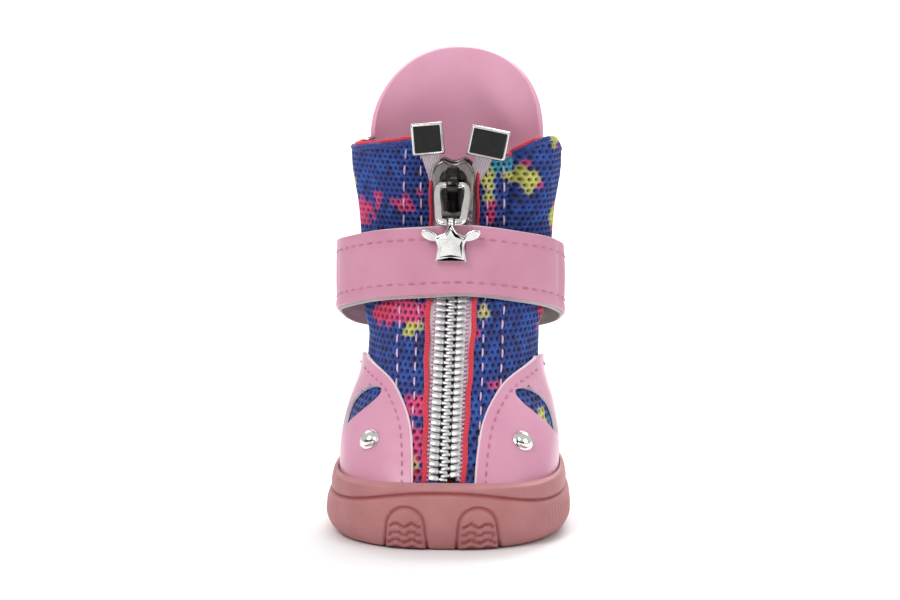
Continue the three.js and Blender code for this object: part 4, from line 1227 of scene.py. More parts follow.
def panel_sheet():
    points = panel_grid()
    rows, columns = points.shape[:2]
    points = points.reshape(-1, 3)
    quads = np.array(grid_faces(rows, columns))
    edges = np.concatenate([quads[:, [0, 1]], quads[:, [1, 2]], quads[:, [2, 3]], quads[:, [3, 0]]])
    side = np.ones(len(points))
    for window in WINDOWS:
        away = window_distance(points, window)[2]
        crossing = edges[away[edges[:, 0]] * away[edges[:, 1]] < 0]
        a, b = crossing.T
        nearest = np.unique(np.where(np.abs(away[a]) < np.abs(away[b]), a, b))
        points[nearest] = onto_window(points[nearest], window)
        away[nearest] = 0
        side = np.minimum(side, np.where(away < 0, -1, np.where(away == 0, 0, 1)))
    low = side[quads].min(1)
    faces = quads[low >= 0].tolist()
    for quad in quads[(low < 0) & (side[quads].max(1) > 0)]:
        for k in range(4):
            corner = [quad[k - 1], quad[k], quad[(k + 1) % 4]]
            if side[quad[k]] > 0 and side[corner].min() >= 0:
                faces.append(corner)
    faces = [f for f in faces if max(side[f]) > 0]
    used = np.unique(np.concatenate([np.ravel(f) for f in faces]))
    renumber = np.full(len(points), -1)
    renumber[used] = np.arange(len(used))
    return points[used], [[int(renumber[i]) for i in f] for f in faces]


def flank_normals(points, out=PANEL_OUT):
    return normal_of(lambda angle, z: last_point(angle, z, out), angle_of(points, out), points[..., 2])


def inside_of(edge, inset, out=PANEL_OUT):
    """A line on the panel, a fixed distance inside an edge that runs with the panel on its right."""
    normal = flank_normals(edge, out)
    along = unit(np.gradient(edge, axis=0))
    moved = edge + np.cross(along, normal) * inset
    return last_point(angle_of(moved, out), moved[..., 2], out)


def mirrored(points, faces, side):
    """The same piece on the other side of the boot."""
    if side > 0:
        return points, faces
    return points * np.array([-1, 1, 1]), [list(f)[::-1] for f in faces]


# %% Panels: cloth and seams
panel_points, panel_faces = panel_sheet()
grid = panel_grid()
front_edge = resampled(grid[12:, 0], 0.5)[0]
top_edge = resampled(grid[-1], 0.5)[0]
heel_edge = resampled(grid[10:, -1][::-1], 0.5)[0]
front_row = inside_of(front_edge[:-5], STITCH_INSET)
top_row = inside_of(top_edge[8:-4], STITCH_INSET)
heel_row = inside_of(heel_edge[5:], STITCH_INSET)
seam_rows = (front_row, top_row, heel_row)
for side, word in ((-1, "left"), (1, "right")):
    points, faces = mirrored(panel_points, panel_faces, side)
    panel = piece(f"panel_{word}", points, faces, [PANEL_LOOK, EDGE_LOOK], "panel_coating",
                  stands_for=[f"side_panel_{word}"])
    thicken(panel, PANEL_THICK, rim_look=1)
    lowered = flank_normals(front_edge) * 0.42
    cut_edge = tube(front_edge - lowered, 0.36, sides=8)
    edge_line = piece(f"panel_edge_{word}", *mirrored(*cut_edge, side), [EDGE_LOOK], "panel_coating")
    seam = joined([stitches(row, flank_normals(row), 1.25, 0.75, 0.34, proud=0.35) for row in seam_rows])
    thread = piece(f"panel_stitches_{word}", *mirrored(*seam, side), [PINK_THREAD], "panel_coating")

# %% [markdown]
# ## Rivets
#
# One domed rivet holds each panel before its window. It is turned metal: a thin flange and a dome,
# spun from one short profile round the panel's own normal.

# %% Rivets
RIVET_X, RIVET_Z = 14.0, 17.6
# Radius and height of each ring of a rivet.
RIVET_PROFILE = [(1.0, -0.2), (1.95, -0.2), (2.05, 0.0), (1.98, 0.16), (1.78, 0.24), (1.68, 0.36),
                 (1.6, 0.62), (1.38, 0.92), (1.0, 1.16), (0.52, 1.3), (0.05, 1.34)]


def spun(profile, centre, axis, sides=40):
    """A closed form turned round an axis, from its lowest ring to its highest."""
    axis = unit(np.asarray(axis, float))
    across = unit(np.cross(axis, [0.3, 0.2, 0.9]))
    beside = np.cross(axis, across)
    turn = np.arange(sides) * 2 * math.pi / sides
    ring = across * np.cos(turn)[:, None] + beside * np.sin(turn)[:, None]
    points = np.concatenate([centre + ring * radius + axis * height for radius, height in profile])
    return points, stack_faces(len(profile), sides)


rivet_angle = angle_from_x(np.array(RIVET_X), np.array(RIVET_Z), PANEL_OUT)
rivet_centre = last_point(rivet_angle, np.array(RIVET_Z), PANEL_OUT + 0.12)
rivet_normal = flank_normals(rivet_centre[None])[0]
for side, word in ((-1, "left"), (1, "right")):
    rivet = mirrored(*spun(RIVET_PROFILE, rivet_centre, rivet_normal), side)
    piece(f"dome_{word}", *rivet, [SILVER_LOOK], "plated_metal", stands_for=[f"rivet_{word}"])

# %% [markdown]
# ## Strap
#
# The ankle strap is a loop of the same coated cloth, over a grey-white backing that peeps out below.
# It bends sharply at the sides and falls towards the heel. Rows of stitches press a shallow channel
# near both edges.

# %% Strap
STRAP = {"front": 3.9, "back": 32.6, "half": 21.3, "widest": 18.0, "squareness": 1.85}
STRAP_TALL = 12.8
STRAP_Z = {"front": 48.2, "side": 43.0, "back": 38.2}
STRAP_SHIFT = -0.9               # the loose strap hangs a little to the left
STRAP_ROWS = 26
STRAP_ROUND = 260
STRAP_SEAM = 0.64                # the stitch rows, as a share of half the height
COAT_THICK = 0.7
BACKING_THICK = 0.42
BACKING_PEEP = 0.55              # how far the backing shows below the coat
# Soft folds of the strap: turn in degrees, place across it, half length, half width, slant and depth.
STRAP_FOLDS = [
    (74.0, 0.1, 5.2, 0.7, 90, -0.32),
    (82.0, 0.0, 6.0, 1.2, 90, 0.28),
    (-80.0, 0.0, 6.0, 0.8, 88, -0.22),
    (-48.0, -0.2, 6.0, 3.4, 70, 0.16),
    (38.0, 0.3, 7.0, 2.6, -62, -0.14),
    (4.0, 0.0, 9.0, 4.0, 0, 0.22),
    (128.0, 0.2, 6.0, 2.4, 60, -0.3),
    (-126.0, 0.1, 6.0, 2.4, -60, -0.3),
]


def strap_height(y):
    before = STRAP_Z["side"] + (STRAP_Z["front"] - STRAP_Z["side"]) * (STRAP["widest"] - y) / (
        STRAP["widest"] - STRAP["front"])
    t = np.clip((y - STRAP["widest"]) / (STRAP["back"] - STRAP["widest"]), 0, 1)
    behind = STRAP_Z["side"] + (STRAP_Z["back"] - STRAP_Z["side"]) * np.sin(t * math.pi / 2)
    return np.where(y < STRAP["widest"], before, behind)


def strap_relief(turn, across):
    total = 0.16 * (1 - across**2) - 0.12 * np.exp(-(((np.abs(across) - STRAP_SEAM) / 0.07) ** 2))
    total = total + 0.22 * smoothstep(-0.6, -1.0, across)
    for degrees, middle, half_long, half_wide, slant, depth in STRAP_FOLDS:
        u = wrapped(turn - math.radians(degrees)) * STRAP["half"] * 0.9
        v = (across - middle) * STRAP_TALL / 2
        total = total + depth * fold_shape(u, v, half_long, half_wide, slant)
    return total


def strap_point(turn, across, out=0.0, lower=0.0):
    """A point of the strap. across runs from -1 at its lower edge to 1 at its upper."""
    middle = outline(turn, 0.0, out=0.0, **STRAP)
    wave = 0.18 * np.sin(turn * 3 + 0.6) + 0.1 * np.sin(turn * 7)
    z = strap_height(middle[..., 1]) + across * STRAP_TALL / 2 + wave * np.abs(across) - lower
    return outline(turn, z, out=out + strap_relief(turn, across), **STRAP) + [STRAP_SHIFT, 0, 0]


loop_turn = np.linspace(-math.pi, math.pi, 721)
loop_line = outline(loop_turn, 0.0, out=0.0, **STRAP)
reached = np.concatenate([[0], np.cumsum(np.linalg.norm(np.diff(loop_line, axis=0), axis=1))])
strap_turns = np.interp(np.linspace(0, 1, STRAP_ROUND, endpoint=False), reached / reached[-1], loop_turn)
across = np.linspace(-1, 1, STRAP_ROWS)[:, None]
strap_faces = grid_faces(STRAP_ROWS, STRAP_ROUND, round_columns=True)
coat = strap_point(strap_turns[None, :], across)
strap = piece("strap_coat", coat.reshape(-1, 3), strap_faces, [STRAP_LOOK, BACKING_LOOK, EDGE_LOOK],
              "strap_coating", stands_for=["strap"])
thicken(strap, COAT_THICK, rim_look=2, inner_look=1, bevel=0.2)
peep = BACKING_PEEP * smoothstep(0.2, -1, across)
backing = strap_point(strap_turns[None, :], across, out=-COAT_THICK - 0.02, lower=peep)
strap_backing = piece("strap_backing", backing.reshape(-1, 3), strap_faces, [BACKING_LOOK, BACKING_LOOK],
                      "strap_coating")
thicken(strap_backing, BACKING_THICK, bevel=0.1)
strap_seams = []
seam_turn = np.linspace(-math.pi, math.pi, 500)
for row in (-STRAP_SEAM, STRAP_SEAM):
    line = strap_point(seam_turn, np.array(row), 0.02)
    outwards = unit(line - strap_point(seam_turn, np.array(row), -1.0))
    strap_seams.append(stitches(line, outwards, 1.35, 0.85, 0.34, proud=0.2))
strap_thread = piece("strap_stitches", *joined(strap_seams), [PINK_THREAD], "strap_coating")

# %% [markdown]
# ## Back tab
#
# A tall tab stands behind the collar, for pulling the boot on. It is one rounded sheet that lies in
# the knit's own curve, so it is a grid between a base line and an arched top.

# %% Back tab
TAB_BASE, TAB_SHOULDER, TAB_TOP = 56.0, 68.4, 85.4
TAB_HALF, TAB_TAPER = 16.3, 2.0
TAB_OUT = -1.85
TAB_FULL_LEFT, TAB_FULL_RIGHT = 2.0, 2.35   # 2 is an ellipse, more is fuller at the shoulder
TAB_THICK = 1.15
# Soft dents of the tab: middle in x and z, half width, half height, slant and depth.
TAB_DENTS = [(9.0, 74.0, 4.0, 7.0, 0.5, -1.1), (-9.0, 75.0, 4.0, 5.0, 0.0, -0.5)]
TAB_ROWS, TAB_COLUMNS = 60, 90


def tab_sheet():
    u = np.linspace(-1, 1, TAB_COLUMNS)[None, :]
    t = np.linspace(0, 1, TAB_ROWS)[:, None]
    share = np.sin(u * math.pi / 2)
    full = np.where(share > 0, TAB_FULL_RIGHT, TAB_FULL_LEFT)
    top = TAB_SHOULDER + (TAB_TOP - TAB_SHOULDER) * np.clip(1 - np.abs(share) ** full, 0, 1) ** (1 / full)
    z = TAB_BASE + (top - TAB_BASE) * t
    half = TAB_HALF - TAB_TAPER * np.clip((TAB_SHOULDER - z) / (TAB_SHOULDER - TAB_BASE), 0, 1)
    x = share * half
    dent = 0
    for middle_x, middle_z, wide, tall, slant, depth in TAB_DENTS:
        away = (x - middle_x + slant * (z - middle_z)) / wide
        dent = dent + depth * np.exp(-(away**2) - ((z - middle_z) / tall) ** 2)
    points = last_point(angle_from_x(x, z, TAB_OUT, behind=True), z, TAB_OUT + dent)
    return points[:, ::-1]


tab_points = tab_sheet()
tab = piece("back_tab_cover", tab_points.reshape(-1, 3), grid_faces(TAB_ROWS, TAB_COLUMNS),
            [TAB_LOOK, TAB_LOOK], "panel_coating", stands_for=["back_tab"])
thicken(tab, TAB_THICK, bevel=0.4)

# %% [markdown]
# ## The zip
#
# A metal chain has two rows of teeth that pass each other by half a pitch. Each tooth is a block that
# grips the tape, with a narrower head that reaches between its neighbours, so the dark gaps between
# heads draw the two dotted lines of a real chain. Every tooth is a rounded block, joined into one mesh.

# %% Zip: teeth
ZIP_FOOT = 12.6
FIRST_TOOTH, LAST_TOOTH = ZIP_FOOT - 1.3, 59.6
ZIP_DEEP = 0.55                  # how far the chain's middle lies behind the knit's outer face
TEETH_PITCH = 1.44
# A tooth's two blocks: middle across the chain, then size across, out and along, and squareness.
TOOTH_BLOCKS = [(2.0, 2.0, 1.45, 1.26, 0.42), (0.2, 1.75, 1.35, 0.71, 0.42)]
TOOTH_TILT = math.radians(10)


def front_y(z):
    return section("front", z)


def zip_frame(z, depth=ZIP_DEEP):
    """The chain's middle at a height, and its directions up the chain and out of it."""
    step = 0.5
    lean = np.arctan2(front_y(z + step) - front_y(z - step), 2 * step)
    zero = np.zeros_like(lean)
    middle = np.stack([zero, front_y(z) + depth, z + zero], -1)
    along = np.stack([zero, np.sin(lean), np.cos(lean)], -1)
    out = np.stack([zero, -np.cos(lean), np.sin(lean)], -1)
    return middle, along, out


BLOCK_RINGS, BLOCK_SIDES = 7, 14


def rounded_block(size, squareness):
    """A block with soft corners about the origin: a ball pressed towards a box."""
    up = np.linspace(-math.pi / 2, math.pi / 2, BLOCK_RINGS + 2)[1:-1][:, None]
    round_ = np.arange(BLOCK_SIDES)[None, :] * 2 * math.pi / BLOCK_SIDES + math.pi / BLOCK_SIDES

    def pressed(value):
        return np.sign(value) * np.abs(value) ** squareness

    x = pressed(np.cos(up)) * pressed(np.cos(round_))
    y = pressed(np.cos(up)) * pressed(np.sin(round_))
    z = pressed(np.sin(up)) + 0 * round_
    points = np.stack([x, y, z], -1).reshape(-1, 3) * np.array(size) / 2
    return points, stack_faces(BLOCK_RINGS, BLOCK_SIDES)


def tooth(side, middle, along, out):
    """One tooth of the chain: its blocks set side by side, tilted up towards the tape."""
    across = np.array([1.0, 0.0, 0.0]) * math.cos(TOOTH_TILT) * side + along * math.sin(TOOTH_TILT)
    upward = np.cross(across, out) * -side
    parts = []
    for reach, *size, squareness in TOOTH_BLOCKS:
        points, faces = rounded_block(size, squareness)
        placed = (middle + across * reach + points[:, :1] * across * side
                  + points[:, 1:2] * out * -1 + points[:, 2:] * upward)
        parts.append((placed, faces))
    return parts


teeth = []
z = FIRST_TOOTH
count = 0
while z < LAST_TOOTH:
    middle, along, out = zip_frame(np.array(z))
    teeth += tooth(1 if count % 2 else -1, middle, along, out)
    z += TEETH_PITCH / 2 * along[2]
    count += 1
piece("zip_teeth", *joined(teeth), [TEETH_LOOK], "plated_metal", stands_for=["zip_chain"])
print("teeth", count)

# %% [markdown]
# The tapes carry the teeth. Below the slider they lie side by side. Above it each tape swings out to
# its clip.

# %% Zip: tapes
# Each clip: its side, its middle's x and z, its width and height, and its turn in radians.
CLIPS = [
    ("left", -4.8, 69.9, 5.9, 5.9, 0.09),
    ("right", 6.5, 69.2, 7.2, 5.6, -0.2),
]
TAPE_X, TAPE_HALF = 3.15, 1.05
CORD_TOP = 56
TAPE_COLUMNS = 9


def tape_middle(side, z, end_x, end_z):
    """The middle of a tape: straight up beside the chain, then out to its clip."""
    swing = smoothstep(58.5, end_z + 1.0, z)
    return side * TAPE_X + (end_x - side * TAPE_X) * swing


for (word, clip_x, clip_z, *_), side in zip(CLIPS, (-1, 1)):
    heights = np.concatenate([np.arange(ZIP_FOOT - 1.2, 58, 0.5), np.linspace(58, clip_z + 1.2, 26)])
    middle, along, out = zip_frame(heights, ZIP_DEEP + 0.1)
    loose = smoothstep(58.0, clip_z, heights)
    u = np.linspace(-1, 1, TAPE_COLUMNS)
    x = tape_middle(side, heights, clip_x, clip_z)
    width = TAPE_HALF * (1 + 0.75 * loose)
    depth = -2.6 * loose + 0.35 * np.sin(loose * math.pi) * side
    points = np.stack([x[:, None] + u[None] * width[:, None],
                       (middle[:, 1] + depth)[:, None] + 0.12 * u[None] ** 2 * loose[:, None],
                       heights[:, None] + 0 * u[None]], -1)
    tape = piece(f"tape_{word}", points.reshape(-1, 3), grid_faces(len(heights), TAPE_COLUMNS),
                 [TAPE_LOOK, TAPE_LOOK], "zip_tape", stands_for=[f"zip_tape_{word}"])
    thicken(tape, 0.6, bevel=0.1)
    closed = heights < CORD_TOP
    cord_path = np.stack([side * (2.62 + 0 * heights[closed]), middle[closed, 1] - 0.35, heights[closed]], -1)
    piece(f"tape_cord_{word}", *tube(cord_path, 0.30, sides=8), [TAPE_LOOK], "zip_tape")
    outwards = np.tile(np.array([0.0, -0.9, 0.4]), (len(cord_path), 1))
    ladder = stitches(cord_path + [side * 0.45, 0.05, 0.0], outwards, 0.55, 0.35, 0.55, proud=0.3)
    piece(f"tape_ladder_{word}", *ladder, [PALE_THREAD], "zip_tape")

# %% [markdown]
# ## Slider, pull and charm
#
# Cast and stamped metal has flat faces and softly rounded edges. One function makes such a plate from
# any outline: rings that step in and round at both faces. The slider's two plates, the star and the
# clips all come from it.


# %% Rounded plates
def rounded_plate(shape, low, high, edge, place, steps=3):
    """A flat plate between two depths, its edges rounded. place turns (u, v, depth) into points."""
    shape = np.asarray(shape, float)
    before = unit(shape - np.roll(shape, 1, 0))
    after = unit(np.roll(shape, -1, 0) - shape)
    turn_in = np.stack([-(before + after)[:, 1], (before + after)[:, 0]], -1)
    sharp = np.clip(np.sum(before * after, -1) * 0.5 + 0.5, 0.3, 1)
    inwards = unit(turn_in) / np.sqrt(sharp)[:, None]
    rings = []
    bend = np.linspace(0, math.pi / 2, steps + 1)
    for t in bend:
        rings.append((shape + inwards * edge * (1 - math.sin(t)), low + edge * (1 - math.cos(t))))
    for t in bend[::-1]:
        rings.append((shape + inwards * edge * (1 - math.sin(t)), high - edge * (1 - math.cos(t))))
    first = shape + inwards * edge * 1.25
    rings = [(first, low)] + rings + [(first, high)]
    layers = [place(np.column_stack([ring, np.full(len(shape), depth)])) for ring, depth in rings]
    return np.concatenate(layers), stack_faces(len(rings), len(shape))


def arc(centre, radius, start, stop, count):
    """Points of an arc; radius may be one number or two, for an ellipse."""
    turn = np.radians(np.linspace(start, stop, count))
    wide, tall = np.broadcast_to(radius, (2,))
    return np.column_stack([centre[0] + wide * np.cos(turn), centre[1] + tall * np.sin(turn)])


def facing_front(points):
    """Drawn in x and z, as deep as y: a plate seen from the front."""
    return np.column_stack([points[:, 0], -points[:, 2], points[:, 1]])


def facing_side(points):
    """Drawn in y and z, as wide as x: a plate seen from the side."""
    return np.column_stack([points[:, 2], points[:, 0], points[:, 1]])


# %% Slider
SLIDER_TOP, WAIST_Z, SLIDER_FOOT = 66.0, 59.5, 55.0
SLIDER_HALF, SLIDER_TAIL = 3.9, 2.9
SLIDER_FRONT, SLIDER_BACK, PLATE = 10.9, 15.4, 1.1
PULL_Y, PULL_Z = 8.6, 61.6
EYE_Y, EYE_Z = 2.85, 55.6
shield = np.concatenate([
    arc((-SLIDER_TAIL + 0.6, SLIDER_FOOT + 0.6), 0.6, 180, 270, 5),
    arc((SLIDER_TAIL - 0.6, SLIDER_FOOT + 0.6), 0.6, 270, 360, 5),
    [(SLIDER_HALF - 0.3, WAIST_Z)],
    arc((SLIDER_HALF - 2.6, SLIDER_TOP - 2.9), (2.6, 2.9), 0, 78, 9),
    [(0.5, SLIDER_TOP - 0.7), (-0.5, SLIDER_TOP - 0.7)],
    arc((-SLIDER_HALF + 2.6, SLIDER_TOP - 2.9), (2.6, 2.9), 102, 180, 9),
    [(-SLIDER_HALF + 0.3, WAIST_Z)],
])
hollow = (shield - [0, 60.5]) * [0.66, 0.72] + [0, 60.3]
slider_parts = [
    rounded_plate(shield, -SLIDER_FRONT - PLATE, -SLIDER_FRONT, 0.38, facing_front),
    rounded_plate(shield, -SLIDER_BACK - PLATE, -SLIDER_BACK, 0.38, facing_front),
]
# The raised middle field is dark gunmetal: painted shade, for the slider's hollow.
piece("slider_face", *rounded_plate(hollow, -SLIDER_FRONT - 0.3, -SLIDER_FRONT + 0.32, 0.28, facing_front),
      [DARK_METAL_LOOK], "dark_metal")
post = arc((0, 63.2), (0.9, 1.6), 0, 360, 17)[:-1]
slider_parts.append(rounded_plate(post, -SLIDER_BACK - 0.3, -SLIDER_FRONT - 0.8, 0.1, facing_front))
for side in (-1, 1):
    lip = np.concatenate([arc((side * 3.25, 56.4), 0.32, 180, 360, 7),
                          arc((side * 3.45, 60.6), 0.32, 0, 180, 7)])
    slider_parts.append(rounded_plate(lip, -SLIDER_FRONT - 2.0, -SLIDER_FRONT - 0.6, 0.12, facing_front))
    slider_parts.append(rounded_plate(lip, -SLIDER_BACK - 0.4, -SLIDER_BACK + 1.0, 0.12, facing_front))
piece("slider_body", *joined(slider_parts), [GUNMETAL_LOOK], "dark_metal", stands_for=["zip_slider"])

# The bridge over the slider in y and z, from its top round to its foot.
BRIDGE = np.array([(11.3, 64.6), (10.6, 64.3), (9.7, 63.6), (8.6, 62.9), (7.7, 62.4), (7.35, 61.6),
                   (7.6, 60.7), (8.3, 59.9), (9.2, 58.9), (10.1, 57.6), (10.8, 56.6), (11.4, 56.2)])
bend = np.linspace(0, 1, 60)
knots = np.linspace(0, 1, len(BRIDGE))
route = np.column_stack([0 * bend] + [curve_through(knots, values, bend) for values in BRIDGE.T])
bridge_out = np.cross([1.0, 0.0, 0.0], unit(np.gradient(route, axis=0)))
piece("slider_bridge", *tube(route, 1.15, sides=16, flat=0.34, facing=bridge_out), [DARK_METAL_LOOK],
      "dark_metal")

# %% Pull
# One half of the wire: how far out from the middle, and how far down from the bridge to the charm.
PULL_WIRE = [(0.75, 1), (1.5, 1), (2.0, 0.97), (2.3, 0.86), (2.5, 0.6), (2.7, 0.3), (2.6, 0.1), (2.1, 0),
             (0.85, 0)]
half_wire = np.array([(x, PULL_Y + (EYE_Y - PULL_Y) * down, PULL_Z + (EYE_Z - PULL_Z) * down)
                      for x, down in PULL_WIRE])
wire = np.concatenate([half_wire, half_wire[::-1] * [-1, 1, 1]])
wire_places = np.concatenate([[0], np.cumsum(np.linalg.norm(np.diff(wire, axis=0), axis=1))])
wire_line = np.column_stack([curve_through(wire_places, wire[:, k], np.linspace(0, wire_places[-1], 120))
                             for k in range(3)])
wire_out = unit(np.cross([1.0, 0.0, 0.0], wire[0] - wire[len(wire) // 2 - 1]))
wire_out = np.tile(wire_out, (len(wire_line), 1))
piece("pull_wire", *tube(wire_line, 0.68, sides=14, flat=0.62, facing=wire_out), [SILVER_LOOK],
      "plated_metal", body="pull", stands_for=["zip_pull"])

# %% [markdown]
# The charm is a plain five-pointed star with two leaf-shaped lobes at its shoulders and a smaller star
# raised on its face. It is a star of nobody's, with no lettering.

# %% Charm
CHARM_Z = EYE_Z - 4.0
CHARM_HALF = 0.6
# Direction in degrees and distance of each corner.
STAR_POINTS = [(90, 4.0), (60, 2.3), (22, 3.4), (-8, 2.5), (-50, 4.6), (-90, 2.9), (-130, 4.6), (-172, 2.5),
               (158, 3.4), (120, 2.3)]


def charm_place(points):
    return np.column_stack([points[:, 0], EYE_Y - points[:, 2], CHARM_Z + points[:, 1]])


corners = np.array([(r * math.cos(math.radians(a)), r * math.sin(math.radians(a))) for a, r in STAR_POINTS])
star = []
for k in range(len(corners)):
    here, ahead, behind = corners[k], corners[(k + 1) % len(corners)], corners[k - 1]
    for t in np.linspace(0, 1, 6):
        start, stop = here + (behind - here) * 0.16, here + (ahead - here) * 0.16
        star.append((1 - t) ** 2 * start + 2 * t * (1 - t) * here + t**2 * stop)
star = np.array(star)[::-1]
charm_parts = [rounded_plate(star, -CHARM_HALF, CHARM_HALF, 0.34, charm_place)]
for side in (-1, 1):
    lean = side * math.radians(28)
    leaf = arc((0, 0), (1.75, 0.95), 0, 360, 25)[:-1]
    turned = np.column_stack([leaf[:, 0] * math.cos(lean) - leaf[:, 1] * math.sin(lean),
                              leaf[:, 0] * math.sin(lean) + leaf[:, 1] * math.cos(lean)])
    charm_parts.append(rounded_plate(turned + [side * 3.9, 1.5], -0.45, 0.45, 0.3, charm_place))
charm_parts.append(rounded_plate(star * 0.76, CHARM_HALF - 0.2, CHARM_HALF + 0.16, 0.16, charm_place))
neck = np.array([(-0.4, 0.2), (0.4, 0.2), (0.4, 3.9), (-0.4, 3.9)])
charm_parts.append(rounded_plate(neck, -0.45, 0.45, 0.12, charm_place))
eye_line = np.linspace(-0.44, 0.44, 3)[:, None] * [1.0, 0.0, 0.0] + [0.0, EYE_Y, EYE_Z]
charm_parts.append(tube(eye_line, 0.8, sides=20))
piece("star_charm", *joined(charm_parts), [SILVER_LOOK], "plated_metal", body="charm",
      stands_for=["zip_charm"])

# %% [markdown]
# ## Clips
#
# A folded metal clip closes the end of each tape: a sheet bent over it, a raised frame on its face and
# a plain black enamel field inside the frame.

# %% Clips
CLIP_BACK, CLIP_DEEP, CLIP_SHEET = 12.6, 1.9, 0.45
CLIP_INSET, CLIP_CORNER = 0.28, 0.3     # of the frame on its face


def clip_parts(x, z, wide, tall, turn):
    def placed(points):
        c, s = math.cos(turn), math.sin(turn)
        u, y, v = points[:, 0], points[:, 1], points[:, 2]
        return np.column_stack([x + u * c - v * s, y, z + u * s + v * c])

    front = CLIP_BACK - CLIP_DEEP
    inner_front, inner_back = front + CLIP_SHEET, CLIP_BACK - CLIP_SHEET
    top = tall / 2
    fold = np.array([(front, -top), (inner_front, -top), (inner_front, top - CLIP_SHEET),
                     (inner_back, top - CLIP_SHEET), (inner_back, -top), (CLIP_BACK, -top),
                     (CLIP_BACK, top), (front, top)])
    sheet = rounded_plate(fold, -wide / 2, wide / 2, 0.1, lambda p: placed(facing_side(p)), steps=2)
    corner_x, corner_z = wide / 2 - CLIP_INSET - CLIP_CORNER, top - CLIP_INSET - CLIP_CORNER
    rim = np.concatenate([arc((right * corner_x, up * corner_z), CLIP_CORNER, start, start + 90, 5)
                          for right, up, start in ((1, 1, 0), (-1, 1, 90), (-1, -1, 180), (1, -1, 270))])
    frame_line = placed(np.column_stack([rim[:, 0], np.full(len(rim), front), rim[:, 1]]))
    frame_part = tube(frame_line, 0.22, sides=10, closed=True)
    field = rounded_plate(rim * 0.96, -0.12, 0.1, 0.08,
                          lambda p: placed(np.column_stack([p[:, 0], front - p[:, 2], p[:, 1]])))
    return joined([sheet, frame_part]), field


for word, x, z, wide, tall, turn in CLIPS:
    metal_part, field = clip_parts(x, z, wide, tall, turn)
    piece(f"clip_frame_{word}", *metal_part, [SILVER_LOOK], "plated_metal", stands_for=[f"clip_{word}"])
    piece(f"clip_enamel_{word}", *field, [ENAMEL_LOOK], "plated_metal")

# %% [markdown]
# ## Insole and stitches on the knit
#
# The insole is a thin pad covered in cloth, rounded at its edge. Two rows of long pale stitches run
# up each side of the zip and hold its tape behind the knit.

# %% Insole
# Each ring of its edge: its rise, and how far outside the knit's face it lies.
INSOLE_RINGS = [(0.0, -2.4), (0.0, -2.0), (0.9, -1.85), (1.35, -2.1), (1.6, -2.7), (1.65, -5.0)]
INSOLE_FOOT = 2.7
INSOLE_ROUND = 160
INSOLE_CROWN = 0.12
angle = np.linspace(0, 2 * math.pi, INSOLE_ROUND, endpoint=False)
rings = [last_point(angle, np.full(INSOLE_ROUND, INSOLE_FOOT + rise), out) for rise, out in INSOLE_RINGS]
rim = rings[-1]
middle = rim.mean(0)
for share in (0.75, 0.5, 0.25, 0.03):
    rings.append(middle + (rim - middle) * share + [0, 0, INSOLE_CROWN * (1 - share)])
insole = piece("insole_pad", np.concatenate(rings), stack_faces(len(rings), INSOLE_ROUND), [INSOLE_LOOK],
               "insole_cloth", stands_for=["insole"])

# %% Stitches beside the zip
# Each row: how far it lies from the zip's middle, and how far it bows out half way up.
ROWS_BESIDE_ZIP = [(6.1, 0.0), (8.9, 0.7)]
for side, word in ((-1, "left"), (1, "right")):
    seams = []
    for across, drift in ROWS_BESIDE_ZIP:
        z = np.linspace(13.2, 66.6, 200)
        x = side * (across + drift * np.sin((z - 13) / 53 * math.pi) + 0.08 * np.sin(z * 1.7))
        angle = angle_from_x(x, z, 0.0)
        line = knit_point(angle, z, 0.16)
        seams.append(stitches(line, normal_of(knit_point, angle, z), 1.9, 1.25, 0.36, proud=0.35))
    piece(f"knit_stitches_{word}", *joined(seams), [PALE_THREAD], "knit_mesh")

# %% [markdown]
# ## Floor and light
#
# A plain pale floor, a bright even surround and three soft lamps: a key from above the left shoulder,
# a weaker fill, and one behind to part the tab from the background. Low down in front the room is
# dark, which gives the rivets and the zip's metal something black to reflect.

# %% Floor
FLOOR_SIZE = 3.0


def plain(name, colour, roughness):
    made, nodes, shader = material(name, Specular_IOR_Level=0.3)
    cloud = nodes.add("TexNoise", Vector=nodes.add("TexCoord").outputs["Object"], Scale=3.0).outputs["Fac"]
    share = nodes.math("MULTIPLY", cloud, 0.05)
    nodes.feed(shader, "Base Color", nodes.mix(share, colour, (0.8, 0.79, 0.8, 1)))
    nodes.feed(shader, "Roughness", nodes.math("MULTIPLY_ADD", cloud, 0.05, roughness))
    return made


floor_mesh = bpy.data.meshes.new("floor")
half = FLOOR_SIZE / 2
floor_mesh.from_pydata([(-half, -half, 0), (half, -half, 0), (half, half, 0), (-half, half, 0)],
                       [], [(0, 1, 2, 3)])
floor_mesh.materials.append(plain("pale floor", (0.86, 0.855, 0.86, 1), 0.6))
floor = bpy.data.objects.new("floor", floor_mesh)
bpy.context.scene.collection.objects.link(floor)

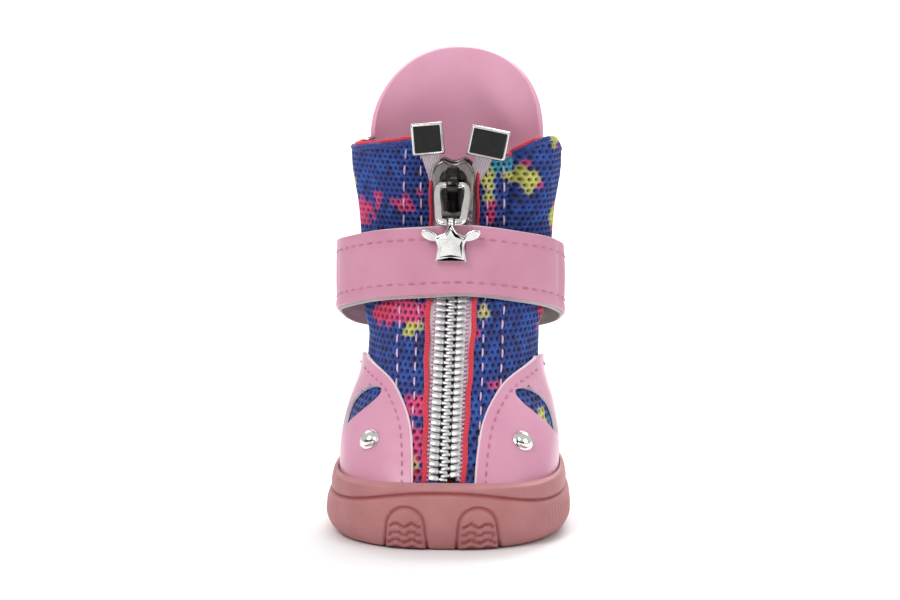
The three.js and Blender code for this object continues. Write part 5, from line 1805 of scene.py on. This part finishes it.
# %% Lights
WORLD_STRENGTH = 0.62
ROOM_COLOUR = (0.05, 0.05, 0.055, 1.0)
# Name, place in metres, size, power in watts and colour of each lamp. All but the last face the
# boot's middle: that one lights the floor behind.
LAMPS = [
    ("key", (-0.30, -0.46, 0.52), 0.34, 2.5, (1.0, 0.985, 0.97)),
    ("fill", (0.48, -0.36, 0.30), 0.40, 1.0, (0.97, 0.985, 1.0)),
    ("rim", (0.12, 0.50, 0.46), 0.30, 2.0, (1.0, 1.0, 1.0)),
    ("sweep", (0.0, 0.85, 0.60), 1.10, 9.0, (1.0, 1.0, 1.0)),
]
for name, place, size, power, colour in LAMPS:
    lamp = bpy.data.lights.new(name, "AREA")
    lamp.shape = "SQUARE"
    lamp.size = size
    lamp.energy = power
    lamp.color = colour
    holder = bpy.data.objects.new(name, lamp)
    holder.location = place
    holder.rotation_mode = "QUATERNION"
    target = Vector((0.0, 0.85, 0.0)) if name == "sweep" else AIM
    holder.rotation_quaternion = (target - Vector(place)).to_track_quat("-Z", "Y")
    bpy.context.scene.collection.objects.link(holder)

world = bpy.data.worlds.new("studio")
world.use_nodes = True
studio = Nodes(world.node_tree)
background = world.node_tree.nodes["Background"]
direction = studio.add("SeparateXYZ", Vector=studio.add("TexCoord").outputs["Generated"]).outputs


def fades(value, start, stop):
    """1 below start and 0 above stop, with a soft step between."""
    return studio.add("MapRange", {"interpolation_type": "SMOOTHSTEP"}, Value=value, From_Min=start,
                      From_Max=stop, To_Min=1.0, To_Max=0.0).outputs[0]


ahead = fades(direction["Y"], -0.45, -0.1)
low = fades(direction["Z"], 0.34, 0.44)
dark = studio.math("MULTIPLY", ahead, low)
studio.feed(background, "Color", studio.mix(dark, WHITE, ROOM_COLOUR))
background.inputs["Strength"].default_value = WORLD_STRENGTH
bpy.context.scene.world = world
bpy.context.scene.view_settings.view_transform = "Standard"
print("lamps", len(LAMPS))

# %% [markdown]
# ## Finish
#
# The last line brings the scene up to date.

# %% Finish
bpy.context.view_layer.update()
